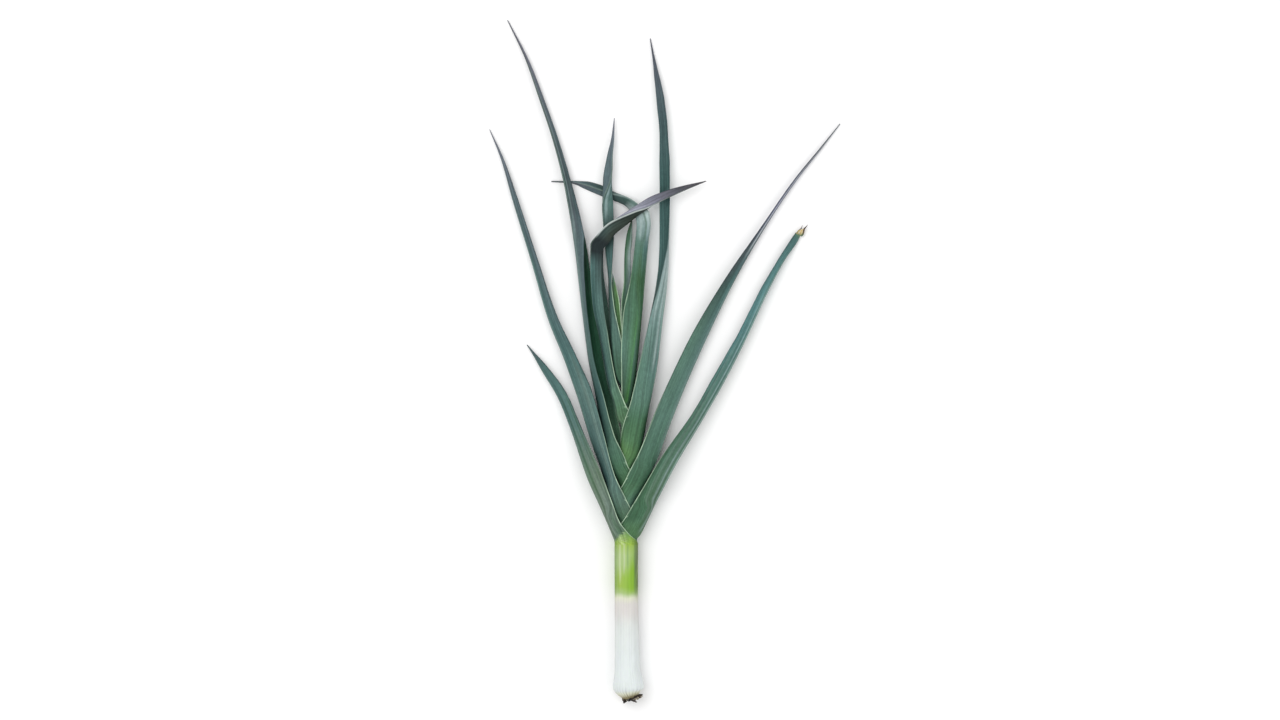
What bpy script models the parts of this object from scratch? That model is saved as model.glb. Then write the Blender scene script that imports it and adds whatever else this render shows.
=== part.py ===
"""A whole leek lying on a table: roots towards -Y, leaf tips towards +Y, resting on its bulb and its drooping leaves.

Shapes are worked out in millimetres and written as metres. Until the last step, positions are measured from the foot
of the shaft: x to the right of the shaft's axis, y along it towards the tips, z up from the table.
"""

import math
import random

import bpy
from mathutils import Euler, Matrix, Vector

MM = 0.001                      # metres in a millimetre
GAP = 0.3                       # clearance between a piece and its neighbour

# The shaft: where its wrapped sheaths end and how its axis lies
COLLAR_Y = 175.0
COLLAR_RADIUS = 13.5
AXIS_HEIGHT = 17.0
SHAFT_SIDES = 24

# Each row: y, x of the centre, radius, tilt of the slice in degrees. The bulb bulges more to the right.
SHAFT_ROWS = (
    (1.5, 4.2, 9.6, 11.0),
    (4.5, 3.2, 12.6, 9.0),
    (8.0, 2.5, 16.0, 5.0),
    (10.5, 2.5, 17.5, 2.0),
    (14.0, 2.4, 17.9, 0.0),
    (19.5, 2.3, 17.0, 0.0),
    (25.0, 2.0, 15.9, 0.0),
    (31.0, 1.5, 14.9, 0.0),
    (43.0, 1.1, 14.2, 0.0),
    (65.0, 0.8, 13.8, 0.0),
    (111.0, 0.2, 13.4, 0.0),
    (COLLAR_Y, 0.0, COLLAR_RADIUS, 0.0),
)

# The stem plate and the cut roots under it
PLATE_RADIUS = 8.8
PLATE_THICKNESS = 2.2
PLATE_BEVEL = 0.8
PLATE_SIDES = 20
ROOTS_IN_RING = 7
ROOT_RING_RADIUS = 5.7
ROOT_RADIUS = 1.45
ROOT_TAPER = 0.35               # how much thinner a root is where it is cut, as a share of its foot
ROOT_SWELL = 0.12               # how much a root swells and narrows along the way
ROOT_WAVES = 5.0
ROOT_LENGTHS = (2.8, 4.6)
ROOT_LEANS = (0.3, 0.7)         # sideways run of a root's end over its length
MIDDLE_ROOT = (3.6, 0.1)        # length and lean of the one in the middle
ROOT_SIDES = 8
ROOT_SLICES = 4
ROOT_SEED = 12

SHARP_ANGLE = 50.0              # edges that fold more than this stay crisp

# Leaves wrap round one another like nested gutters, each a step smaller than the one outside it
LEAF_STEP = 1.2
HIDDEN_LENGTH = 45.0            # most of an inner leaf that lies unseen inside the leaf around it
SHEATH_WALL = 0.7
BLADE_WALL = 1.0
TIP_WALL_SHARE = 0.3            # wall over mean section size, where a leaf gets thin
SMALL_WALL = 0.25               # a small leaf's wall is at most this and a share of its mean section size
SMALL_WALL_SHARE = 0.05
SLICES_PER_ROW = 2

# How open a leaf is: a ring round the leek's axis, a gutter with flat sides, a free blade
RING, GUTTER, FREE = 0.0, 1.0, 2.0
# Degrees from the keel round to each margin: wrapped round the leek, and as a free blade
WRAPPED, BLADE = 172.0, 80.0
BLADE_CREASE = 0.5              # share of straight V in a free blade's section
# Where a wrapped section's points lie from the keel to a margin; in an open one the last are this close together
POINTS_FROM_KEEL = (8.0, 49.0, 90.0, 131.0, WRAPPED)
MARGIN_STEP = 4.0
PULL_FADE = 15.0                # degrees before the top of a ring where the pull of its keel half fades

# Leaf rows, in mm and degrees, from where the leaf leaves the ring to its tip:
# keel edge x, y; margin edge x, y; height of the middle above the table; half height; roll.
# A roll of +90 turns the margins up, and -90 turns the keel up.
LEFT_1 = (
    (-15.5, 185, 3, 181.5, 17, 13.2, 0),
    (-20, 195.5, -7, 202, 17, 13.3, 0),
    (-30, 218.5, -15.5, 224.5, 16.7, 11.8, -15),
    (-44, 249.5, -28, 258, 15.5, 9.5, -15),
    (-64.5, 308, -52.5, 313, 11.5, 7, 0),
    (-79, 343.5, -68.5, 349.5, 8, 5.5, 0),
    (-97, 373.5, -89.5, 378.5, 5.5, 3.8, 0),
    (-115, 404.5, -114, 405, 2.5, 0.8, 0),
)
RIGHT_1 = (
    (16.5, 187.5, -10, 192, 17, 12, 0),
    (25, 204.5, -1, 208, 17, 12.1, 0),
    (37.5, 230, 14.5, 234.5, 17, 11.5, -10),
    (57, 267, 40, 276.5, 15.5, 8.5, -45),
    (88, 318.5, 75.5, 326.5, 12.5, 6.5, -50),
    (113.5, 363, 101, 371, 10, 6, -50),
    (138.5, 412.5, 128, 418, 8, 5.5, -45),
    (165, 465.5, 154, 470, 6.2, 5, -40),
    (184.5, 502, 175.5, 506.5, 5, 4, -30),
    (200, 525, 189, 528, 3.8, 3, 0),
    (207, 541, 205.5, 542, 2.2, 0.6, 0),
)
LEFT_2 = (
    (-14, 210, 9, 208, 17, 10.8, 0),
    (-20.5, 224, 0, 228.5, 17, 10.9, 0),
    (-26.5, 251.5, -13, 257, 16.8, 10.2, 0),
    (-41.5, 295.5, -25, 301.5, 15, 8.2, 0),
    (-55.5, 341.5, -38.5, 350, 12.5, 7, 0),
    (-71.5, 387, -58, 394, 10, 6, 0),
    (-90, 433, -79.5, 439, 8, 5.5, 0),
    (-110, 501, -101.5, 503.5, 6.2, 5, 0),
    (-131.5, 571, -124.5, 573, 4.8, 3.8, 0),
    (-145, 618, -141, 619.5, 3.2, 2.5, 0),
    (-158, 653, -157.5, 653.5, 1.5, 0.6, 0),
)
RIGHT_2 = (
    (12, 226, -9.3, 230, 17, 9.6, 0),
    (24, 247, -1, 251, 17, 9.7, 0),
    (37.5, 278, 15.5, 285, 16.8, 9.3, 0),
    (52.5, 318.5, 32, 326.5, 15, 7.5, 0),
    (71, 364, 53, 373, 13, 6.5, 0),
    (91.5, 410, 75, 417.5, 11, 6, 0),
    (127, 479, 116.5, 483.5, 8.5, 5, 0),
    (161, 536.5, 156, 540, 6.5, 4.2, 0),
    (197.5, 594, 192.5, 596.5, 4.8, 3, 0),
    (225, 631, 222, 632.5, 3.2, 1.8, 0),
    (247, 659.5, 246, 660, 1.5, 0.5, 0),
)
LEFT_3 = (
    (-9.5, 246, 8.2, 250, 17, 8.4, 0),
    (-19.5, 265.5, 1, 269, 17, 8.5, 0),
    (-28, 301, -6.5, 307, 16, 8, 26),
    (-35.5, 344.5, -16, 349.5, 14.8, 7.5, 36),
    (-44, 387, -27, 390.5, 14, 7.2, 42),
    (-50, 433, -33, 436.5, 12.5, 7, 45),
    (-55.5, 479, -40, 481.5, 11, 6.5, 35),
    (-59.5, 513.5, -45, 517, 10.3, 5.5, 15),
    (-64.5, 548, -52, 551, 9.8, 4.5, -30),
    (-73.5, 594, -64, 596.5, 9.8, 3.8, -60),
    (-85.5, 640, -78, 642.5, 7.5, 3.3, -60),
    (-100.5, 686, -94, 687.5, 5.5, 2.8, -50),
    (-116.5, 732, -112, 733.5, 3.5, 2, -30),
    (-137.5, 779, -136.5, 779.5, 1.5, 0.5, 0),
)
RIGHT_3 = (
    (15.5, 278, -7.1, 285, 17, 7.2, 0),
    (20.5, 302, -5.5, 305.5, 17, 7.3, 0),
    (27, 334.5, 4.5, 340, 16.7, 7, 0),
    (35.5, 379, 14.5, 384, 15.5, 6, 0),
    (42, 433, 26, 435.5, 13.5, 5.5, 0),
    (47, 472, 33.5, 473.5, 12.3, 5, 35),
    (49, 497.5, 36.5, 498.5, 11.5, 4, 75),
    (50, 531, 37.5, 531, 10.8, 3.6, 105),
    (51, 594, 37.5, 594, 9.5, 3.2, 100),
    (49, 645.5, 37.5, 645.5, 8, 2.8, 95),
    (44.5, 688.5, 34, 686, 6, 2.4, 90),
    (36, 726, 30.5, 724.5, 3.8, 1.6, 80),
    (28, 758.5, 27, 758, 1.5, 0.5, 80),
)
LEFT_4 = (
    (-11, 320, 5, 322, 17, 6.1, 0),
    (-14.5, 336.5, -3, 341.5, 17, 6.2, 0),
    (-22, 364, -11.5, 370, 17, 5.8, 8),
    (-30, 410, -15.5, 413.5, 17, 5, 22),
    (-39, 456, -22, 457.5, 17, 4.8, 18),
    (-41, 496.5, -26.5, 496.5, 17.5, 4.2, 5),
    (-40.5, 517, -27, 512.5, 18.5, 3.6, 0),
    (-34, 530.5, -25.5, 522, 19.5, 3.2, 0),
    (-23.5, 541, -16.5, 533, 20.3, 3, -15),
    (-8.5, 551.5, -3, 542.5, 20.5, 3, -50),
    (9, 563.5, 13.5, 552.5, 20, 3.2, -85),
    (30.5, 576, 34.5, 566.5, 18.5, 3, -130),
    (59.5, 586, 61.5, 579.5, 15.5, 2, -160),
    (91.5, 593.5, 92, 592.5, 11.5, 0.5, -170),
)
RIGHT_4 = (
    (7, 341.5, -5.3, 343.5, 17, 5, 0),
    (12.5, 387, -6, 392, 17, 5.1, 0),
    (17, 433, -4, 436.5, 17, 4.9, 0),
    (21, 479, 4.5, 480.5, 16, 4.6, 0),
    (25, 523, 10, 524, 14.2, 4, 0),
    (27.5, 544.5, 11.5, 541, 12.6, 3.4, -5),
    (25.5, 557.5, 11, 549, 12, 3.2, -30),
    (15.5, 564.5, 7, 555.5, 11, 3, -45),
    (2.5, 574, -3, 565.5, 8, 2.6, -60),
    (-14.5, 581.5, -17.5, 572, 4.2, 2.2, -80),
    (-30, 589.5, -32, 577.5, 3, 2, -90),
    (-46.5, 593.5, -48, 584.5, 2.6, 1.8, -90),
    (-61, 594, -62, 590.5, 2, 1.2, -90),
    (-86.5, 594, -86.5, 592.5, 1.5, 0.4, -90),
)
LEFT_5 = (
    (-13.5, 372, 1, 375, 17, 3.7, 0),
    (-17.5, 409, -6, 412.5, 17, 3.7, 0),
    (-20, 450.5, -14, 451.5, 16.5, 3.4, 0),
    (-20.5, 477, -16.5, 478, 15.2, 3.2, 0),
    (-23, 504.5, -15.5, 505.5, 13.2, 3.1, 0),
    (-25.5, 534.5, -14, 535.5, 11.3, 3.2, 0),
    (-27.5, 565.5, -15, 566.5, 10.8, 3, -50),
    (-27, 594, -16.5, 595, 10.2, 2.6, -110),
    (-23, 619.5, -16, 620, 8.5, 2, -150),
    (-17.5, 643.5, -14, 644, 6.5, 1.3, -160),
    (-14.5, 666, -13.5, 666, 4.5, 0.4, -160),
)
RIGHT_5 = (
    (3, 385, -4, 388, 17, 2.5, 0),
    (3.5, 421.5, -5.5, 423, 17, 2.6, 0),
    (4, 451.5, -6, 451.5, 16.5, 2.6, 0),
    (5, 479, -3, 479, 15.8, 2.4, 0),
    (4.5, 504.5, -2.5, 504.5, 15, 2.2, 0),
    (6.5, 527.5, -0.5, 527.5, 14, 2, 0),
    (7, 551.5, 6.5, 551.5, 13.3, 0.5, 0),
)
LEFT_6 = (
    (-4, 395, -0.8, 397, 17, 0.9, 0),
    (-11, 420.5, -5, 423, 17, 1.2, 0),
    (-15.5, 450.5, -7.8, 454, 16.5, 1.6, 0),
    (-16.5, 470, -11.5, 472, 15.8, 1.5, 0),
    (-16, 486.5, -15.5, 486.5, 15.3, 0.5, 0),
)

# Each leaf, outermost first: name, side of the leek, y where its keel leaves the round of the leek, how open its
# first rows are, rows. The rows after those are a free blade's.
LEAVES = (
    ("leaf_left_1", -1, 177, (RING, RING), LEFT_1),
    ("leaf_right_1", 1, 180.5, (RING, RING), RIGHT_1),
    ("leaf_left_2", -1, 202, (RING, RING), LEFT_2),
    ("leaf_right_2", 1, 220, (RING, RING), RIGHT_2),
    ("leaf_left_3", -1, 240, (RING, RING), LEFT_3),
    ("leaf_right_3", 1, 262, (RING, RING, GUTTER), RIGHT_3),
    ("leaf_left_4", -1, 312, (RING, RING), LEFT_4),
    ("leaf_right_4", 1, 329, (GUTTER, GUTTER, GUTTER), RIGHT_4),
    ("leaf_left_5", -1, 346, (GUTTER, GUTTER), LEFT_5),
    ("leaf_right_5", 1, 374, (GUTTER, GUTTER), RIGHT_5),
    ("leaf_left_6", -1, 389, (GUTTER,), LEFT_6),
)

# Colour and roughness of each finish
SHEATH_WHITE = ((0.72, 0.76, 0.62), 0.5)
LEAF_GREEN = ((0.10, 0.20, 0.15), 0.55)
YOUNG_GREEN = ((0.20, 0.34, 0.08), 0.5)
PLATE_TAN = ((0.35, 0.30, 0.18), 0.8)
ROOT_BROWN = ((0.03, 0.022, 0.015), 0.9)


def clear_scene():
    for obj in list(bpy.data.objects):
        bpy.data.objects.remove(obj)


def finish(obj, look):
    """Give the object its own Principled material."""
    colour, roughness = look
    material = bpy.data.materials.new(obj.name + "_finish")
    material.use_nodes = True
    shader = material.node_tree.nodes["Principled BSDF"]
    shader.inputs["Base Color"].default_value = (*colour, 1.0)
    shader.inputs["Roughness"].default_value = roughness
    shader.inputs["Metallic"].default_value = 0.0
    obj.data.materials.append(material)


def add_solid(name, points, faces, look):
    """Make a smooth-shaded object from points in mm and faces."""
    mesh = bpy.data.meshes.new(name)
    mesh.from_pydata([point * MM for point in points], [], faces)
    mesh.shade_smooth()
    mesh.set_sharp_from_angle(angle=math.radians(SHARP_ANGLE))
    obj = bpy.data.objects.new(name, mesh)
    bpy.context.scene.collection.objects.link(obj)
    finish(obj, look)
    return obj


def skin(slices):
    """Points and quads of a closed solid through slices that all have the same number of points."""
    count = len(slices[0])
    points = [point for ring in slices for point in ring]
    faces = []
    for row in range(len(slices) - 1):
        for column in range(count):
            after = (column + 1) % count
            here, there = row * count, (row + 1) * count
            faces.append((here + column, here + after, there + after, there + column))
    return points, faces


def circle(centre, radius, sides, tilt):
    """A ring of points round the shaft's axis; a tilt in degrees lifts its right side towards +y."""
    ring = []
    for side in range(sides):
        angle = 2 * math.pi * side / sides
        x = radius * math.cos(angle)
        z = radius * math.sin(angle)
        ring.append(centre + Vector((x, x * math.tan(math.radians(tilt)), z)))
    return ring


def make_shaft():
    """The wrapped sheaths and their bulb as one solid, flat at the collar and at the stem plate."""
    slices = []
    for y, x, radius, tilt in SHAFT_ROWS:
        centre = Vector((x, y, max(AXIS_HEIGHT, radius)))
        slices.append(circle(centre, radius, SHAFT_SIDES, tilt))
    points, faces = skin(slices)
    last = len(points) - SHAFT_SIDES
    faces.append(tuple(range(SHAFT_SIDES - 1, -1, -1)))
    faces.append(tuple(range(last, last + SHAFT_SIDES)))
    faces = [tuple(reversed(face)) for face in faces]
    return add_solid("shaft", points, faces, SHEATH_WHITE)


def make_root_end():
    """The empty on the shaft's lower face, with its +Z pointing out along the roots."""
    y, x, radius, tilt = SHAFT_ROWS[0]
    root_end = bpy.data.objects.new("root_end", None)
    root_end.location = Vector((x, y, max(AXIS_HEIGHT, radius))) * MM
    root_end.rotation_euler = Euler((math.radians(90), 0, math.radians(tilt)))
    bpy.context.scene.collection.objects.link(root_end)
    return root_end


def make_basal_plate(root_end):
    """The disc of stem that the sheaths and the roots grow from."""
    slices = []
    for height, radius in (
        (GAP, PLATE_RADIUS),
        (PLATE_THICKNESS - PLATE_BEVEL, PLATE_RADIUS),
        (PLATE_THICKNESS, PLATE_RADIUS - PLATE_BEVEL),
    ):
        ring = []
        for side in range(PLATE_SIDES):
            angle = 2 * math.pi * side / PLATE_SIDES
            ring.append(Vector((radius * math.cos(angle), radius * math.sin(angle), height)))
        slices.append(ring)
    points, faces = skin(slices)
    last = len(points) - PLATE_SIDES
    faces.append(tuple(range(PLATE_SIDES - 1, -1, -1)))
    faces.append(tuple(range(last, last + PLATE_SIDES)))
    plate = add_solid("basal_plate", points, faces, PLATE_TAN)
    plate.parent = root_end
    return plate


def make_root_stub(name, foot, lean, length, root_end):
    """One cut root: a short, uneven peg that leans away from the middle."""
    slices = []
    for step in range(ROOT_SLICES + 1):
        share = step / ROOT_SLICES
        radius = ROOT_RADIUS * (1.0 - ROOT_TAPER * share**2)
        radius *= 1.0 + ROOT_SWELL * math.sin(ROOT_WAVES * share + length)
        centre = foot + lean * (length * share * share) + Vector((0, 0, length * share))
        ring = []
        for side in range(ROOT_SIDES):
            angle = 2 * math.pi * side / ROOT_SIDES
            ring.append(centre + Vector((radius * math.cos(angle), radius * math.sin(angle), 0)))
        slices.append(ring)
    points, faces = skin(slices)
    last = len(points) - ROOT_SIDES
    faces.append(tuple(range(ROOT_SIDES - 1, -1, -1)))
    faces.append(tuple(range(last, last + ROOT_SIDES)))
    stub = add_solid(name, points, faces, ROOT_BROWN)
    stub.parent = root_end
    return stub


def make_roots(root_end):
    """One stub in the middle and a ring of stubs round it, each cut at its own length."""
    chance = random.Random(ROOT_SEED)
    start = PLATE_THICKNESS + GAP
    length, lean = MIDDLE_ROOT
    make_root_stub("root_stub_1", Vector((0, 0, start)), Vector((lean, 0, 0)), length, root_end)
    for index in range(ROOTS_IN_RING):
        angle = 2 * math.pi * index / ROOTS_IN_RING
        outward = Vector((math.cos(angle), math.sin(angle), 0))
        foot = outward * ROOT_RING_RADIUS + Vector((0, 0, start))
        lean = outward * chance.uniform(*ROOT_LEANS)
        length = chance.uniform(*ROOT_LENGTHS)
        make_root_stub(f"root_stub_{index + 2}", foot, lean, length, root_end)


def leaf_keys(side, layer, leaves_at, opening, rows):
    """Rows with how open the leaf is, starting with the two ends of the stretch where it is a ring in the leek."""
    radius = COLLAR_RADIUS - SHEATH_WALL / 2 - LEAF_STEP * layer
    starts_at = max(COLLAR_Y + GAP, leaves_at - HIDDEN_LENGTH)
    keys = []
    for y in (starts_at, leaves_at):
        keys.append((side * radius, y, -side * radius, y, AXIS_HEIGHT, radius, 0, RING))
    for index, row in enumerate(rows):
        keys.append((*row, opening[index] if index < len(opening) else FREE))
    return keys


def slopes_through(values, at):
    """Slopes of a smooth curve through the values that never overshoots them."""
    spans = [after - before for before, after in zip(at, at[1:])]
    steeps = [(after - before) / span for before, after, span in zip(values, values[1:], spans)]
    slopes = [steeps[0]]
    for index in range(1, len(steeps)):
        before, after = steeps[index - 1], steeps[index]
        if before * after <= 0:
            slopes.append(0.0)
        else:
            near = 2 * spans[index] + spans[index - 1]
            far = spans[index] + 2 * spans[index - 1]
            slopes.append((near + far) / (near / before + far / after))
    return slopes + [steeps[-1]]


def smooth_rows(keys, steps):
    """Rows on smooth curves through the keys, with a number of steps between one key and the next."""
    middles = [Vector(((key[0] + key[2]) / 2, (key[1] + key[3]) / 2)) for key in keys]
    at = [0.0]
    for before, after in zip(middles, middles[1:]):
        at.append(at[-1] + (after - before).length)
    columns = list(zip(*keys))
    slopes = [slopes_through(column, at) for column in columns]
    result = []
    for index in range(len(keys) - 1):
        span = at[index + 1] - at[index]
        for step in range(steps):
            t = step / steps
            row = []
            for values, slope in zip(columns, slopes):
                row.append((2 * t**3 - 3 * t**2 + 1) * values[index]
                           + (t**3 - 2 * t**2 + t) * span * slope[index]
                           + (3 * t**2 - 2 * t**3) * values[index + 1]
                           + (t**3 - t**2) * span * slope[index + 1])
            result.append(row)
    result.append(list(keys[-1]))
    return result


def ring_section(side, row):
    """From keel to margin for a leaf in the leek: a ring with its keel half pulled out and its slit opened."""
    keel_x, margin_x, half_height, opened = row[0], row[2], row[5], row[7]
    pull = max(side * keel_x / half_height - 1.0, 0.0)
    past_axis = min(max(-side * margin_x / half_height, 0.0), 1.0)
    most = WRAPPED + (90.0 - WRAPPED) * min(opened, GUTTER)
    wrap = min(180.0 - math.degrees(math.acos(past_axis)), most)
    points = []
    for index, angle in enumerate((0.0, *POINTS_FROM_KEEL)):
        angle = min(angle, wrap - MARGIN_STEP * (len(POINTS_FROM_KEEL) - index))
        pulled = min((90.0 - angle) / PULL_FADE, 1.0) if angle < 90.0 else 0.0
        turn = math.radians(angle)
        points.append(Vector((1.0 - math.cos(turn) + pull * (1.0 - pulled), math.sin(turn) / 2)))
    reach = points[-1].x
    return [Vector((point.x / reach - 0.5, point.y)) for point in points]


def blade_section():
    """From keel to margin for a free leaf: a gutter between an arc and a V."""
    wrap = math.radians(BLADE)
    points = []
    for angle in (0.0, *POINTS_FROM_KEEL):
        share = angle / WRAPPED
        across = (1 - math.cos(share * wrap)) / (1 - math.cos(wrap))
        up = math.sin(share * wrap) / math.sin(wrap)
        arc = Vector((across - 0.5, up / 2))
        points.append(arc.lerp(Vector((share - 0.5, share / 2)), BLADE_CREASE))
    return points


def section(side, row):
    """The leaf's folded mid-line in a box one unit wide and high, from the back margin round the keel to the front."""
    roll, free = row[6], max(row[7] - GUTTER, 0.0)
    front = [ring.lerp(blade, free) for ring, blade in zip(ring_section(side, row), blade_section())]
    back = [Vector((point.x, -point.y)) for point in reversed(front[1:])]
    turn = Matrix.Rotation(math.radians(roll), 2)
    points = [turn @ point for point in back + front]
    low = [min(point[axis] for point in points) for axis in (0, 1)]
    high = [max(point[axis] for point in points) for axis in (0, 1)]
    return [Vector([(point[axis] - low[axis]) / (high[axis] - low[axis]) - 0.5 for axis in (0, 1)])
            for point in points]


def leaf_surface(side, rows):
    """The mid-surface as a grid of points, with the wall at each row."""
    grid, walls = [], []
    for row in rows:
        keel_x, keel_y, margin_x, margin_y, height, half_height, _, opened = row
        keel = Vector((keel_x, keel_y, height))
        margin = Vector((margin_x, margin_y, height))
        middle = (keel + margin) / 2
        rise = Vector((0, 0, 2 * half_height))
        grid.append([middle + (margin - keel) * point.x + rise * point.y for point in section(side, row)])
        wall = SHEATH_WALL + (BLADE_WALL - SHEATH_WALL) * opened / FREE
        size = ((margin - keel).length + 2 * half_height) / 2
        walls.append(min(wall, TIP_WALL_SHARE * size, SMALL_WALL + SMALL_WALL_SHARE * size))
    return grid, walls


def surface_normals(grid):
    """A unit normal at each grid point, from its neighbours along and across the leaf."""
    rows, columns = len(grid), len(grid[0])
    normals = []
    for i in range(rows):
        line = []
        for j in range(columns):
            along = grid[min(i + 1, rows - 1)][j] - grid[max(i - 1, 0)][j]
            across = grid[i][min(j + 1, columns - 1)] - grid[i][max(j - 1, 0)]
            line.append(along.cross(across).normalized())
        normals.append(line)
    return normals


def make_leaf(name, side, layer, leaves_at, opening, rows, look):
    """One leaf: a thin folded gutter that starts as a ring round the leek's axis and ends in a point."""
    keys = leaf_keys(side, layer, leaves_at, opening, rows)
    grid, walls = leaf_surface(side, smooth_rows(keys, SLICES_PER_ROW))
    normals = surface_normals(grid)
    slices = []
    for line, directions, wall in zip(grid, normals, walls):
        one_side = [point + direction * (wall / 2) for point, direction in zip(line, directions)]
        other_side = [point - direction * (wall / 2) for point, direction in zip(line, directions)]
        slices.append(one_side + list(reversed(other_side)))
    points, faces = skin(slices)
    count = len(slices[0])
    last = len(points) - count
    for column in range(count // 2 - 1):
        partner = count - 2 - column
        faces.append((column + 1, column, partner + 1, partner))
        faces.append((last + column, last + column + 1, last + partner, last + partner + 1))
    faces = [tuple(reversed(face)) for face in faces]
    return add_solid(name, points, faces, look)


def make_leaves():
    for layer, (name, side, leaves_at, opening, rows) in enumerate(LEAVES):
        look = YOUNG_GREEN if layer == len(LEAVES) - 1 else LEAF_GREEN
        make_leaf(name, side, layer, leaves_at, opening, rows, look)


def centre_on_table():
    """Move everything so that the middle of the leek's box is over the origin and its lowest point is on the table."""
    bpy.context.view_layer.update()
    corners = []
    for obj in bpy.data.objects:
        if obj.type == "MESH":
            corners += [obj.matrix_world @ vertex.co for vertex in obj.data.vertices]
    low = [min(corner[axis] for corner in corners) for axis in range(3)]
    high = [max(corner[axis] for corner in corners) for axis in range(3)]
    shift = Vector((-(low[0] + high[0]) / 2, -(low[1] + high[1]) / 2, -low[2]))
    for obj in bpy.data.objects:
        if obj.parent is None:
            obj.location += shift


def main():
    clear_scene()
    make_shaft()
    root_end = make_root_end()
    make_basal_plate(root_end)
    make_roots(root_end)
    make_leaves()
    centre_on_table()


main()
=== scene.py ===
"""The look of a whole leek lying on a pale table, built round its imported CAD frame.

Shapes are in millimetres from the foot of the shaft: x to the right of the shaft's axis, y along
it towards the tips, z up from the table. The frame's own shaft says where that foot lies.
"""

import math
import random

import bpy
import numpy as np
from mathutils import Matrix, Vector


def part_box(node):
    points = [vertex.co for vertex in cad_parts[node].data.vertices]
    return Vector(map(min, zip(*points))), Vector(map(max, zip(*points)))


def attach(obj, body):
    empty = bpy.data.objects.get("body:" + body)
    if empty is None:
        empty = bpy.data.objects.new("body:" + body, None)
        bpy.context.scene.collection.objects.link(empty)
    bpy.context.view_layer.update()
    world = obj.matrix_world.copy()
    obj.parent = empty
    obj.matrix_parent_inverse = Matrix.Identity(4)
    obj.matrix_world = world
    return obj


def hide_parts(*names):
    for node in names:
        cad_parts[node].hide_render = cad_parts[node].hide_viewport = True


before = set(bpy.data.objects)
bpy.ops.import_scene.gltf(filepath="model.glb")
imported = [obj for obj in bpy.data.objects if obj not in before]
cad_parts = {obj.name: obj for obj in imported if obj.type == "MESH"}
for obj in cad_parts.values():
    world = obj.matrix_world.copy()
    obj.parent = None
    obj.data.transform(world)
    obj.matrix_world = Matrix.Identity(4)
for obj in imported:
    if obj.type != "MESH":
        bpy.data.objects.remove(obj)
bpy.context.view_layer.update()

MM = 0.001                      # metres in a millimetre
UP = np.array((0.0, 0.0, 1.0))

# The shaft: where its wrapped sheaths end, how its axis lies, and its widest part
COLLAR_Y = 175.0
COLLAR_RADIUS = 13.5
AXIS_HEIGHT = 17.0
BULB_X = 2.4
BULB_RADIUS = 17.9

# Each row: y, x of the centre, radius, tilt of the slice in degrees
SHAFT_ROWS = (
    (1.5, 4.2, 9.6, 11.0),
    (4.5, 3.2, 12.6, 9.0),
    (8.0, 2.5, 16.0, 5.0),
    (10.5, 2.5, 17.5, 2.0),
    (14.0, BULB_X, BULB_RADIUS, 0.0),
    (19.5, 2.3, 17.0, 0.0),
    (25.0, 2.0, 15.9, 0.0),
    (31.0, 1.5, 14.9, 0.0),
    (43.0, 1.1, 14.2, 0.0),
    (65.0, 0.8, 13.8, 0.0),
    (111.0, 0.2, 13.4, 0.0),
    (COLLAR_Y, 0.0, COLLAR_RADIUS, 0.0),
    (COLLAR_Y + 7.0, 0.0, COLLAR_RADIUS - 2.0, 0.0),
)
SHAFT_SPACING = 0.9
SHAFT_SIDES = 144
SHAFT_GRAIN = 70.0              # third noise coordinate of the shaft's skin
GROOVE_DEPTH = 1.2              # where the sheaths gather at the stem plate

# The stem plate: how far out and how wide each ring of its disc is
PLATE_RINGS = ((-1.6, 8.9), (-0.9, 9.2), (-0.2, 9.1), (0.4, 8.6),
               (0.9, 7.6), (1.2, 6.0), (1.35, 4.0), (1.4, 2.0))
PLATE_SIDES = 64

# The roots: each has a core and broken rootlets round it
ROOT_COUNT = 8
CORE_RADII = (1.55, 1.25)
CORE_RINGS = 8
CORE_SIDES = 12
CORE_LUMPS = 0.22
ROOTLET_COUNT = 8
ROOTLET_RADII = (1.45, 0.8)
ROOTLET_RINGS = 9
ROOTLET_SIDES = 8
ROOTLET_LUMPS = 0.28

# Slivers of the dried leaf end: start, end, width, rise of the middle, whether it is dark along one side
DRY_SLIVERS = (
    ((201.2, 530.0, 3.6), (208.8, 543.6, 4.2), 2.1, 0.8, True),
    ((199.0, 531.0, 4.2), (205.5, 540.5, 2.6), 1.9, 1.6, False),
    ((197.2, 532.0, 3.8), (201.3, 539.6, 5.0), 1.3, 1.2, False),
    ((196.6, 533.0, 3.0), (203.6, 542.4, 2.2), 1.5, 0.6, True),
    ((201.6, 530.5, 2.6), (206.6, 538.5, 2.0), 1.2, -0.8, False),
)
SLIVER_STEPS = 12
SLIVER_ACROSS = ((-1, 0.25), (-0.5, -0.1), (0, -0.2), (0.5, -0.1), (1, 0.25))   # place, rise
SLIVER_HALF_THICKNESS = 0.12

# Leaves wrap round one another like nested gutters, each a step smaller than the one outside it
LEAF_STEP = 1.2
HIDDEN_LENGTH = 45.0            # how far down inside the leek a leaf starts
PAST_COLLAR = 0.3               # the least that a leaf starts above the collar
TUCK_LENGTH = 4.0               # the outermost leaf starts this much lower, inside the shaft's skin
TUCK_STEP = 0.6                 # and this much narrower
SHEATH_WALL = 0.7
BLADE_WALL = 1.0
TIP_WALL_SHARE = 0.3            # a wall is at most this share of its section's size,
SMALL_WALL = 0.25               # and at most this much
SMALL_WALL_SHARE = 0.05         # plus this share of that size
MARGIN_WALL_SHARE = 0.35        # of the wall is left at the margins
ROW_SPACING = 2.0               # between one row of a leaf's mesh and the next

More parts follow.
